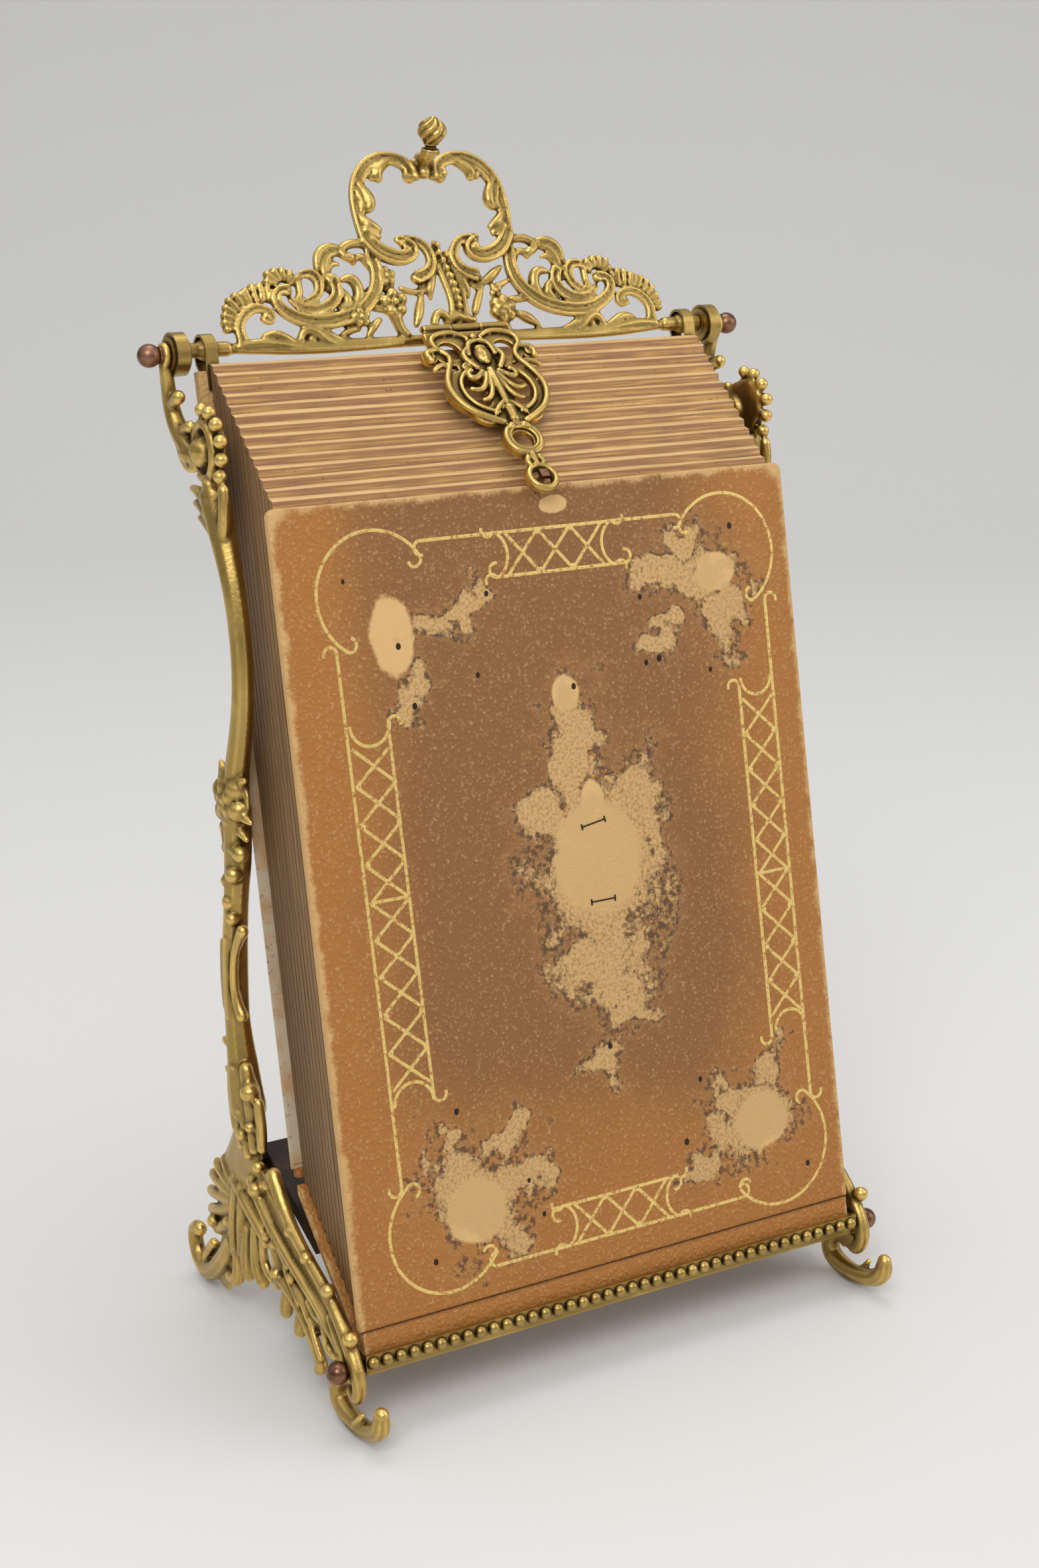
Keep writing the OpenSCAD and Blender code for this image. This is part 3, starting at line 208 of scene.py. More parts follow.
FRAME_STRANDS = [
    [(-99, 58, 2.2, 1.6), (-104.5, 62, 2.8, 2.6), (-110, 64.5, 2.2, 1.0)],
    [(-101, 56, 2.2, 1.8), (-110, 59.4, 3.0, 3.0), (-117.4, 60, 2.3, 1.0)],
    [(-102, 53, 2.2, 2.0), (-112.5, 54, 3.0, 3.2), (-122, 53.4, 2.4, 1.0)],
    [(-102.5, 50, 2.2, 2.0), (-114, 48, 3.0, 3.2), (-125, 45, 2.4, 1.0)],
    [(-102.5, 46.6, 2.2, 2.0), (-113, 41.6, 3.0, 3.2), (-125, 37, 2.4, 1.0)],
    [(-101, 43, 2.0, 2.0), (-110, 36, 2.8, 3.0), (-120.4, 30, 2.4, 1.0)],
    [(-97, 63, 2.2, 2.0), (-96.4, 52, 2.8, 3.2), (-99, 42, 3.0, 3.2), (-101, 32, 2.8, 2.2),
     (-102.4, 25.4, 2.2, 1.2)],
    [(-91, 61, 2.2, 2.4), (-90.6, 50, 2.6, 3.4), (-92, 40, 2.8, 3.0), (-95, 31, 2.4, 2.0)],
    [(-101, 27, 2.8, 1.0), (-100.4, 19.6, 3.1, 1.2), (-103, 14.6, 3.3, 1.4), (-107.4, 15, 2.6, 2.0)],
    [(-88, 45, 3.0, 1.6), (-90, 34, 3.8, 1.6), (-91, 26, 3.8, 1.2), (-91.5, 22.4, 2.8, 1.0)],
    [(-80.6, 47, 3.0, 1.6), (-80.6, 36, 4.0, 1.6), (-79.4, 29, 4.0, 1.2), (-78, 25.6, 3.0, 1.0)],
    [(-99, 61, 2.6, 2.0), (-87, 56, 3.0, 3.0), (-76, 51.6, 2.9, 3.2), (-69.6, 46.4, 2.6, 2.4)],
    [(-82, 67, 2.6, 2.4), (-72, 61, 2.9, 3.0), (-61, 53, 2.7, 2.8), (-51, 45.6, 2.4, 2.4)],
    [(-66, 47, 2.0, 2.0), (-61.8, 41.6, 2.2, 2.0), (-61, 35.4, 2.5, 1.6), (-63.6, 31.4, 2.6, 1.2)],
    [(-74.6, 45, 2.0, 2.0), (-76, 38.4, 2.0, 1.6), (-73.6, 32.4, 2.4, 1.2), (-68.4, 31.2, 2.2, 1.0)],
    [(-64, 76, 3.4, 1.0), (-58, 69, 3.2, 1.2), (-50, 62, 2.9, 1.4), (-40, 56.5, 2.7, 1.6),
     (-28, 51.5, 2.7, 1.6), (-16, 46, 2.9, 1.8), (-6, 38, 3.1, 1.8), (0.5, 31, 3.3, 1.8),
     (4.4, 24, 3.3, 1.6), (3.6, 17, 2.9, 1.4), (-1, 13.8, 2.3, 1.2), (-4, 15.4, 1.6, 1.4)],
    [(-68, 58, 1.8, 3.0), (-54, 51, 2.2, 3.4), (-40, 46, 2.3, 3.4), (-28, 41, 2.1, 3.2),
     (-18, 36, 2.0, 3.0), (-10, 30, 1.8, 2.6)],
    [(-64, 36, 2.9, 1.4), (-52, 33.6, 2.6, 1.8), (-42, 30, 2.6, 1.8), (-34, 24.4, 2.7, 1.8),
     (-28.6, 18, 2.7, 1.6), (-26.6, 13.6, 2.9, 1.2), (-30, 11.6, 2.5, 1.0)],
    [(-55, 32, 2.8, 1.0), (-57, 26, 3.4, 1.0), (-58, 22.4, 3.0, 0.8)],
    [(-43, 28, 2.8, 1.0), (-45, 22.6, 3.4, 1.0), (-46, 19.8, 2.8, 0.8)],
    [(-22, 35.4, 1.4, 3.0), (-19, 31, 1.7, 3.5), (-18, 26.6, 1.7, 3.5), (-14, 25, 1.3, 3.0)],
    [(-34, 38, 1.4, 3.0), (-28, 34.6, 1.7, 3.4), (-23, 35.4, 1.4, 3.4)],
    [(-44, 40, 1.5, 3.0), (-38, 36, 1.9, 3.2), (-34, 30.4, 1.7, 2.8)],
    [(-53, 43, 1.5, 3.0), (-47, 39, 1.9, 3.2), (-42, 34, 1.7, 2.8)],
    [(-33, 31, 1.4, 3.0), (-29, 25, 1.6, 3.0), (-25, 19, 1.5, 2.6)],
    [(-16, 40, 1.6, 3.0), (-8, 33, 1.8, 3.4), (-3, 26, 1.5, 3.0)],
    [(-3, 22, 3.2, 0.6), (-10, 19, 3.6, 0.6), (-15.4, 13.4, 4.1, 0.6), (-14.4, 7, 4.3, 0.6),
     (-7, 4.5, 4.2, 0.6), (2, 4.3, 3.9, 0.6), (10, 6.2, 3.7, 0.6), (16.4, 9.4, 3.9, 0.6),
     (19.6, 13.8, 4.1, 0.6), (19.4, 17.6, 3.2, 0.6)],
    [(1, 4.4, 1.6, 3.0), (5, 8, 1.9, 3.4), (7.6, 12, 1.3, 2.6)],
    [(-106, 30, 4.2, 0.6), (-112, 22, 4.8, 0.6), (-119, 15, 4.8, 0.6), (-126, 9, 4.4, 0.6),
     (-134, 5.2, 4.2, 0.6), (-142, 7.4, 3.8, 0.6), (-146, 14, 3.6, 0.6), (-144.6, 20.6, 3.8, 0.6),
     (-139.6, 21.4, 3.2, 0.8)],
    [(-124, 22, 2.4, 1.6), (-130, 16, 2.2, 2.0), (-133, 11, 1.8, 2.0)],
    [(-78, 82, 2.6, 2.4), (-77, 94, 3.0, 3.0), (-79, 104, 3.6, 3.2), (-82, 113, 3.0, 2.8)],
    [(-88, 80, 2.4, 3.0), (-89, 92, 2.7, 3.4), (-90, 104, 2.5, 3.2), (-91, 117, 2.3, 3.0)],
    [(-95, 84, 2.2, 2.0), (-97, 95, 2.6, 2.2), (-97, 104, 2.4, 2.0)],
    [(-94, 106, 2.1, 2.0), (-99, 107, 2.3, 2.0), (-102.4, 106, 1.3, 1.6)],
    [(-94, 117, 2.1, 2.0), (-99.6, 118.6, 2.5, 2.0), (-103.6, 117.4, 1.5, 1.6)],
    [(-82, 78, 2.0, 3.4), (-84, 90, 2.1, 3.8), (-85, 101, 1.9, 3.8)],
    [(-72.6, 84, 2.3, 1.6), (-71.4, 94, 2.7, 2.0), (-73.4, 102, 2.4, 2.0)],
    [(-87, 96, 8.0, 0.2), (-89.6, 110, 7.0, 0.3), (-93, 128, 5.4, 0.4), (-93.4, 142, 5.7, 0.4),
     (-92.6, 156, 5.7, 0.4), (-90.6, 170, 5.4, 0.4), (-88.2, 184, 5.4, 0.4), (-85.6, 196, 6.0, 0.4),
     (-84.6, 212, 6.2, 0.4)],
    [(-96.6, 134, 1.7, 3.4), (-97.2, 146, 1.8, 3.8), (-96, 160, 1.7, 3.6)],
    [(-91.8, 131, 1.7, 4.6), (-92.2, 146, 1.9, 4.8), (-90.8, 163, 1.7, 4.6)],
    [(-84, 134, 2.8, 2.6), (-87.4, 140, 2.0, 3.6), (-87.4, 150, 1.9, 4.0), (-85.6, 161, 1.8, 3.6),
     (-80.4, 168.6, 2.7, 2.4)],
    [(-92, 198, 2.7, 2.0), (-86, 201, 3.1, 3.2), (-78.6, 199, 3.5, 2.8)],
    [(-85, 222, 5.6, 0.4), (-83, 231, 5.2, 0.4), (-79.4, 241, 5.0, 0.4), (-75.6, 254, 4.8, 0.4),
     (-74.4, 268, 4.6, 0.4), (-75.4, 282, 4.6, 0.4), (-78.6, 296, 4.8, 0.4), (-83.4, 308, 5.2, 0.4),
     (-88, 318, 6.0, 0.4), (-92, 328, 6.6, 0.4)],
    [(-92, 316, 2.4, 2.0), (-99.6, 320, 2.3, 2.0), (-104, 319, 1.3, 1.6)],
    [(-92, 320, 2.7, 2.4), (-100.6, 325, 2.5, 2.4), (-107, 324, 1.4, 1.8)],
    [(-93, 326, 2.7, 2.8), (-103, 330, 2.5, 2.6), (-109.6, 329, 1.4, 1.8)],
    [(-88, 314, 2.6, 2.4), (-88, 323, 3.0, 3.2), (-91, 333, 3.0, 3.4)],
    [(-83, 316, 2.6, 2.0), (-80, 324, 2.8, 2.4), (-81.4, 332, 2.4, 2.0)],
    [(-100, 335, 2.0, 2.2), (-94, 333.6, 2.0, 2.6), (-88.6, 337, 2.1, 2.8), (-86.6, 344, 2.1, 2.8),
     (-89, 351.6, 2.1, 2.8), (-95, 354.6, 2.1, 2.8), (-101, 352, 2.0, 2.4), (-104, 346, 2.0, 2.2),
     (-103.4, 339, 2.0, 2.0)],
    [(-104, 337.6, 1.9, 1.8), (-110, 335, 1.9, 2.0), (-117, 339.6, 1.9, 2.0), (-120, 345.6, 1.9, 1.8),
     (-115, 350, 2.1, 2.2), (-108, 351.4, 2.3, 2.2)],
    [(-106, 341, 4.2, 1.0), (-114, 344, 4.4, 1.2), (-120.4, 349, 4.0, 1.6), (-124, 356, 3.6, 2.4),
     (-124.2, 363, 3.2, 3.2), (-123.2, 369, 2.9, 4.2), (-122.6, 373, 2.8, 4.8)],
    [(-123, 358, 2.4, 2.8), (-115.6, 361, 2.9, 3.0)],
]
FRAME_KNOBS = [
    (-120, 34, 2.8, 3.0), (-102, 42, 2.3, 4.2), (-76, 66, 3.3, 3.2), (-59, 50.6, 2.0, 4.0),
    (-45, 43, 2.2, 4.2),
    (-60.6, 37.4, 1.9, 3.4), (-66, 51, 1.9, 4.2), (-47.8, 60.4, 2.6, 2.4), (-34.3, 55.6, 2.8, 2.4),
    (-17, 50.2, 3.0, 2.4),
    (0.2, 38.8, 3.1, 2.6), (-77.4, 105.4, 4.0, 3.4), (-84, 86, 2.7, 4.4), (-76, 92, 2.2, 4.6),
    (-88, 178, 3.1, 3.6),
    (-86, 172, 2.6, 3.6), (-83, 190, 3.4, 3.6), (-89.6, 186, 2.5, 3.6), (-97.4, 343.8, 6.4, 0.6),
    (-110.8, 341.4, 4.2, 1.4),
    (-83.4, 336.6, 2.7, 2.0), (-81.6, 342.8, 2.7, 2.0), (-81.8, 349.2, 2.7, 2.0),
    (-85.2, 354.8, 2.7, 2.0),
    (-90.8, 358.2, 2.7, 2.0), (-97.2, 358.6, 2.6, 2.0), (-88, 112, 2.4, 4.0), (-74, 76, 2.6, 2.6),
    (-66, 72, 2.4, 2.8),
]
# Rose: its middle, and its rings of petals with their distance out, reach, lift and number
ROSE_MIDDLE = (-86, 218)
ROSE_RINGS = [(6.8, 4.6, 1.6, 6), (4.0, 3.5, 3.4, 5), (1.8, 2.3, 5.0, 3)]
# Lobes round the rose: two ends each
ROSE_LOBES = [
    ((-94, 216), (-100.4, 213.4)), ((-92, 226), (-96, 229.6)), ((-80, 226), (-75, 227.6)), ((-78, 214),
    (-71.4, 212.6)),
    ((-82, 208), (-75.4, 205)), ((-90, 208), (-96, 203.4)), ((-93, 206), (-94.6, 196.4)), ((-86, 230),
    (-86, 234)),
]

# Finial: its turned outline as radius and height, and one flute as radius, height and reach
FINIAL_OUTLINE = [
    (0.0, -1.0), (3.6, -1.0), (3.6, 1.0), (2.2, 1.5), (2.0, 2.3), (3.0, 2.8), (2.3, 3.5), (4.2, 5.6),
    (4.9, 7.8),
    (4.4, 9.8), (2.9, 11.4), (1.5, 12.3), (1.1, 12.7), (1.2, 13.1), (0.7, 13.5), (0.0, 13.6),
]
FINIAL_FLUTE = [
    (2.2, 3.6, 0.8), (4.1, 5.6, 1.2), (4.7, 7.8, 1.4), (4.2, 9.8, 1.2), (2.6, 11.4, 0.9),
    (1.3, 12.4, 0.5),
]
FLUTES = 7
# Turn of a flute in radians for each millimetre of height
FLUTE_TWIST = 0.26

# Relief of the clasp, drawn to the right and mirrored, in the clasp's own plane
CLASP_HALF = [
    [(3.3, -6.4, 0.9, 1.6), (6, -4.2, 1.1, 1.7), (10.5, -3.6, 1.2, 1.7), (16, -4.6, 1.2, 1.7),
     (19, -7.6, 1.2, 1.7), (18, -11, 1.1, 1.6)],
    [(3, -6.8, 1.0, 1.6), (3, -10, 1.1, 1.8), (5.6, -12.6, 1.0, 1.8)],
    [(18, -11, 1.2, 1.6), (14.6, -14.4, 1.2, 1.8), (14.4, -18, 1.2, 1.8), (17, -22, 1.3, 1.8),
     (20, -28, 1.4, 1.6), (20.4, -34, 1.4, 1.6), (17.6, -40.6, 1.4, 1.6), (12, -45.6, 1.4, 1.6),
     (5, -49, 1.3, 1.6)],
    [(9, -22.6, 0.9, 1.8), (13, -25.4, 0.9, 1.8), (15.4, -31, 0.9, 1.8), (14.6, -37, 0.9, 1.8),
     (10.6, -42, 0.9, 1.8), (5, -44.4, 0.9, 1.8)],
    [(18, -12, 1.2, 1.6), (21.6, -12.4, 1.4, 1.8), (23.4, -14.6, 1.3, 1.8), (22.4, -17.4, 1.4, 2.0)],
    [(17, -19.6, 1.1, 1.6), (20.6, -20, 1.3, 1.8), (22.6, -22, 1.1, 1.6)],
    [(4.4, -12, 1.0, 2.0), (7.4, -14, 1.2, 2.2), (8.6, -17, 1.3, 2.3), (7, -20, 1.3, 2.3),
     (5, -22.4, 1.1, 2.2)],
    [(0.6, -9.2, 1.0, 2.6), (3.4, -9.8, 1.2, 2.8), (5.2, -12.4, 1.1, 2.6), (5.6, -15.6, 0.9, 2.2)],
    [(3.6, -24.4, 1.2, 2.0), (6.4, -27.4, 1.4, 2.2), (9.6, -27.6, 1.3, 2.2), (10.4, -24.8, 1.2, 2.2),
     (8.4, -23.8, 1.1, 2.4)],
    [(2.4, -25.6, 1.2, 2.0), (4.6, -31, 1.3, 2.2), (8.6, -34, 1.2, 2.0), (11.4, -32.4, 1.0, 1.8)],
    [(1.6, -27, 1.1, 2.2), (3, -34, 1.2, 2.2), (6.4, -38.4, 1.1, 2.0), (8.6, -38, 0.8, 1.8)],
    [(1.6, -40, 1.0, 2.0), (4.6, -42, 1.2, 2.0), (6.4, -45, 1.1, 1.8)],
    [(2.4, -66.8, 1.3, 1.4), (3.8, -68.4, 1.2, 1.4), (2.6, -70.2, 1.1, 1.2)],
    [(2.6, -51.4, 1.6, 1.8), (3.6, -52.2, 1.6, 1.8)],
]
CLASP_PLATES = [
    [(0, -10, 6.0, 0), (0, -18, 8.0, 0), (0, -24, 5.0, 0)], [(0, -26, 6.0, 0), (0, -34, 5.0, 0),
     (0, -46, 4.0, 0)],
]
# Rings of the clasp: height of the middle, radius, reach and lift
CLASP_RINGS = [(-57.6, 7.0, 1.3, 1.4), (-57.6, 5.4, 0.6, 2.0), (-75.8, 5.3, 1.2, 1.1)]
# A plain face: across, up and lift of each lump, and its reach each way
CLASP_FACE = [
    (0, -16.2, 1.6, 3.5, 4.8, 2.7), (0, -13.4, 2.7, 2.6, 1.6, 1.5), (-1.35, -15.3, 3.75, 0.95, 0.28, 0.4),
    (1.35, -15.3, 3.75, 0.95, 0.28, 0.4), (-1.35, -16.0, 3.7, 0.62, 0.42, 0.45),
    (1.35, -16.0, 3.7, 0.62, 0.42, 0.45),
    (0, -17.0, 4.1, 0.55, 1.15, 0.7), (0, -18.7, 3.8, 0.95, 0.3, 0.5), (0, -19.3, 3.65, 0.75, 0.28, 0.5),
    (0, -20.4, 3.0, 1.3, 0.8, 0.9),
]
CLASP_MIDDLE = [
    [(0, -24, 1.8, 1.8), (0, -32, 2.0, 2.0), (0, -40, 1.6, 1.8)],
    [(0, -43, 2.5, 1.4), (0, -48, 2.3, 1.4)],
    [(0, -65.4, 1.6, 1.4), (0, -70, 1.4, 1.2)],
    [(0, -6.6, 1.7, 1.6), (0, -7.4, 1.3, 1.6)],
]


def colour_setting(title, text, value):
    """A colour that the sidebar can change."""
    return FloatVectorProperty(name=title, description=text, subtype="COLOR", size=3, default=value)


def length_setting(title, text, value, least):
    """A length in metres that the sidebar can change."""
    return FloatProperty(
        name=title, description=text, subtype="DISTANCE", unit="LENGTH", default=value, min=least
    )


class StageSettings(bpy.types.PropertyGroup):
    """Camera, floor and lamps."""

    camera_place: FloatVectorProperty(
        name="Camera place",
        description="Where the camera stands",
        subtype="TRANSLATION",
        default=(-0.45072, -0.74624, 0.46442),
    )
    camera_turn: FloatProperty(
        name="Camera turn",
        description="Turn of the camera about the vertical, to its right",
        subtype="ANGLE",
        default=math.radians(30.707),
    )
    camera_dip: FloatProperty(
        name="Camera dip",
        description="Tilt of the camera below level",
        subtype="ANGLE",
        default=math.radians(16.126),
    )
    lens: FloatProperty(name="Lens", description="Focal length in millimetres", default=54.55, min=10)
    floor_colour: colour_setting(
        "Floor colour", "Colour of the floor and the backdrop", (0.76, 0.755, 0.745)
    )
    key_power: FloatProperty(
        name="Key power", description="Power of the main lamp in watts", default=16.0, min=0
    )
    world_light: FloatProperty(
        name="World light", description="Strength of the light from all round", default=0.8, min=0
    )


class CastingSettings(bpy.types.PropertyGroup):
    """Finish of the brass castings."""

    voxel: length_setting("Voxel", "Grain of the mesh that rounds a casting off", 0.00062, 0.0003)
    bright: colour_setting("Bright brass", "Colour where the gilding is rubbed bright", (0.80, 0.55, 0.17))
    dark: colour_setting("Patina", "Colour in the hollows", (0.060, 0.036, 0.011))


class AlbumSettings(bpy.types.PropertyGroup):
    """Colours of the leather, the gilding and the leaves."""

    leather: colour_setting("Leather", "Main colour of the cover's leather", (0.27, 0.118, 0.034))
    # Rubbed leather also paints the highlights on the pebbles' tops.
    rubbed: colour_setting("Rubbed leather", "Colour where the leather is worn pale", (0.72, 0.46, 0.19))
    gilt: colour_setting("Gilt", "Colour of the tooled lines", (0.90, 0.66, 0.22))
    leaf_edge: colour_setting("Leaf edge", "Colour of the leaves' gilt edges", (0.56, 0.325, 0.105))
    paper: colour_setting("Old paper", "Colour of the lining and the loose card", (0.60, 0.50, 0.36))
    warm: colour_setting(
        "Warm leather", "Colour of the leather towards the foot and the edges", (0.42, 0.168, 0.034)
    )
    burnt_pale: colour_setting("Torn leather", "Colour of the rough torn places", (0.52, 0.28, 0.10))
    # Burnt rims also paints the shade along the cover's fold and in the slit at the foot of each leaf's
    # edge.
    burnt: colour_setting("Burnt rims", "Colour of the dark rims and specks", (0.075, 0.035, 0.018))
    # Rubbed leaf edge also paints the shade in a band below each leaf's top edge.
    leaf_brown: colour_setting(
        "Rubbed leaf edge", "Colour where the gilding of a leaf's edge is rubbed off", (0.33, 0.165, 0.075)
    )
    # Bright leaf edge also paints the highlight line along each leaf's top edge.
    leaf_bright: colour_setting(
        "Bright leaf edge", "Colour of the brightest streaks of the leaves' gilding", (0.82, 0.56, 0.25)
    )
    flank: colour_setting("Leaf side", "Colour of the leaves' sides", (0.37, 0.215, 0.085))
    # Dark leaf side also paints the shade in the slits between the leaves and deeper in the stack.
    flank_dark: colour_setting(
        "Dark leaf side", "Colour of the dark layers in the leaves' sides", (0.10, 0.048, 0.018)
    )
    line: length_setting("Line width", "Width of a tooled line", 0.00145, 0.0002)


def node(tree, kind, inputs=None, **settings):
    """A shader node with its settings and its inputs, which are values or sockets of other nodes."""
    made = tree.nodes.new(kind)
    for name, value in settings.items():
        setattr(made, name, value)
    for name, value in (inputs or {}).items():
        socket = made.inputs[name]
        if isinstance(value, bpy.types.NodeSocket):
            tree.links.new(value, socket)
        else:
            socket.default_value = value
    return made


def sums(tree, kind, first, second=0.0, third=0.0, clamp=False):
    """Result of a Math node on values or sockets."""
    values = {0: first, 1: second, 2: third}
    return node(tree, "ShaderNodeMath", values, operation=kind, use_clamp=clamp).outputs[0]


def vectors(tree, kind, first, second=(0.0, 0.0, 0.0), third=(0.0, 0.0, 0.0)):
    """Result of a Vector Math node on vectors or sockets."""
    return node(tree, "ShaderNodeVectorMath", {0: first, 1: second, 2: third}, operation=kind).outputs[0]


def cloudy(tree, vector, scale, detail, roughness=0.5):
    """Value of a noise texture."""
    values = {"Vector": vector, "Scale": scale, "Detail": detail, "Roughness": roughness}
    return node(tree, "ShaderNodeTexNoise", values).outputs["Fac"]


def push(tree, start, place, scale, detail, reach):
    """A place pushed about across and up by noise, by half the reach at most."""
    noisy = node(tree, "ShaderNodeTexNoise", {"Vector": place, "Scale": scale, "Detail": detail})
    away = vectors(tree, "SUBTRACT", noisy.outputs["Color"], (0.5, 0.5, 0.5))
    return vectors(tree, "MULTIPLY_ADD", away, (reach, 0.0, reach), start)


def set_bump(tree, shader, strength, distance, height):
    """Joins a bump map to a shader, from a height and its depth in metres."""
    bump = node(tree, "ShaderNodeBump", {"Strength": strength, "Distance": distance, "Height": height})
    tree.links.new(bump.outputs["Normal"], shader.inputs["Normal"])


def blend(tree, share, first, second):
    """Mixture of two colours by a share from 0 to 1."""
    mix = node(tree, "ShaderNodeMix", data_type="RGBA", blend_type="MIX")
    for place, value in ((0, share), (6, first), (7, second)):
        if isinstance(value, bpy.types.NodeSocket):
            tree.links.new(value, mix.inputs[place])
        else:
            mix.inputs[place].default_value = value if place == 0 else (*value[:3], 1.0)
    return mix.outputs[2]


def ramp(tree, value, low, high, to_low=0.0, to_high=1.0):
    """Value stretched from one span to another, eased at both ends and kept inside."""
    made = node(
        tree,
        "ShaderNodeMapRange",
        {"Value": value, "From Min": low, "From Max": high, "To Min": to_low, "To Max": to_high},
        interpolation_type="SMOOTHSTEP",
    )
    return made.outputs["Result"]


def new_material(name):
    """Empty material with its shader, and the shader's surface already joined to the output."""
    material = bpy.data.materials.new(name)
    material.use_nodes = True
    tree = material.node_tree
    shader = tree.nodes["Principled BSDF"]
    return material, tree, shader


def new_group(name, inputs, outputs):
    """Node group with named sockets, given as (name, kind, default)."""
    tree = bpy.data.node_groups.new(name, "ShaderNodeTree")
    for title, kind, value in inputs:
        socket = tree.interface.new_socket(name=title, in_out="INPUT", socket_type="NodeSocket" + kind)
        if value is not None:
            socket.default_value = value
    for title, kind in outputs:
        tree.interface.new_socket(name=title, in_out="OUTPUT", socket_type="NodeSocket" + kind)
    return tree, node(tree, "NodeGroupInput"), node(tree, "NodeGroupOutput")


def use_group(tree, name, inputs=None):
    """A node group placed in a material, with its own values."""
    made = tree.nodes.new("ShaderNodeGroup")
    made.node_tree = bpy.data.node_groups[name]
    for title, value in (inputs or {}).items():
        if isinstance(value, bpy.types.NodeSocket):
            tree.links.new(value, made.inputs[title])
        else:
            made.inputs[title].default_value = value
    return made


def make_place_group():
    """Place on the cover in millimetres: across from its left edge, depth, and height up its slope."""
    tree, _, out = new_group("Place on cover", [], [("Place", "Vector")])
    coordinates = node(tree, "ShaderNodeTexCoord")
    turned = node(
        tree,
        "ShaderNodeMapping",
        {
            "Vector": coordinates.outputs["Object"],
            "Location": (-COVER_WIDTH / 2, FOOT.y, FOOT.z),
            "Rotation": (-LEAN, 0.0, 0.0),
            "Scale": (MM, MM, MM),
        },
        vector_type="TEXTURE",
    )
    tree.links.new(turned.outputs["Vector"], out.inputs["Place"])


def make_spot_group():
    """Height of an oval hill that is 1 at its middle and 0 at its rim."""
    tree, given, out = new_group(
        "Oval spot",
        [("Place", "Vector", None), ("Middle", "Vector", (0, 0, 0)), ("Reach", "Vector", (1, 1, 1))],
        [("Hill", "Float")],
    )
    away = vectors(tree, "SUBTRACT", given.outputs["Place"], given.outputs["Middle"])
    scaled = vectors(tree, "DIVIDE", away, given.outputs["Reach"])
    flat = vectors(tree, "MULTIPLY", scaled, (1, 0, 1))
    length = node(tree, "ShaderNodeVectorMath", {0: flat}, operation="LENGTH")
    tree.links.new(sums(tree, "SUBTRACT", 1.0, length.outputs["Value"]), out.inputs["Hill"])


def make_grain_group():
    """Pebbled leather grain: a height and a mask of the pebbles' tops."""
    tree, given, out = new_group(
        "Leather grain",
        [("Place", "Vector", None), ("Pebble", "Float", 1.2)],
        [("Height", "Float"), ("Tops", "Float")],
    )
    fine = sums(tree, "DIVIDE", 1.0, given.outputs["Pebble"])
    cells = node(
        tree,
        "ShaderNodeTexVoronoi",
        {"Vector": given.outputs["Place"], "Scale": fine, "Randomness": 0.9},
        feature="SMOOTH_F1",
    )
    rough = cloudy(tree, given.outputs["Place"], 1.6, 4.0)
    dome = sums(tree, "SUBTRACT", 0.75, cells.outputs["Distance"])
    height = sums(tree, "MULTIPLY_ADD", rough, 0.35, dome)
    tree.links.new(height, out.inputs["Height"])
    tree.links.new(ramp(tree, dome, 0.36, 0.6), out.inputs["Tops"])


def make_hollow_group():
    """Mask of a casting's hollows, from its creases, its closeness to other surfaces and a slow mottle."""
    tree, given, out = new_group(
        "Hollows",
        [("Reach", "Float", 0.004), ("Crease", "Float", 1.0), ("Mottle", "Float", 0.4)],
        [("Hollow", "Float"), ("Edge", "Float")],
    )
    coordinates = node(tree, "ShaderNodeTexCoord")
    shape = node(tree, "ShaderNodeNewGeometry")
    shade = node(tree, "ShaderNodeAmbientOcclusion", {"Distance": given.outputs["Reach"]}, samples=6)
    slow = cloudy(tree, coordinates.outputs["Object"], 160.0, 5.0, 0.6)
    crease = ramp(tree, shape.outputs["Pointiness"], 0.497, 0.45)
    crease = sums(tree, "MULTIPLY", crease, given.outputs["Crease"])
    near = ramp(tree, shade.outputs["AO"], 0.97, 0.6)
    mottle = sums(tree, "SUBTRACT", slow, 0.5)
    mottle = sums(tree, "MULTIPLY", mottle, given.outputs["Mottle"])
    total = sums(tree, "ADD", sums(tree, "ADD", near, crease), mottle)
    tree.links.new(sums(tree, "ADD", total, 0.0, clamp=True), out.inputs["Hollow"])
    ridge = ramp(tree, shape.outputs["Pointiness"], 0.504, 0.54)
    tree.links.new(sums(tree, "MULTIPLY", ridge, given.outputs["Crease"]), out.inputs["Edge"])


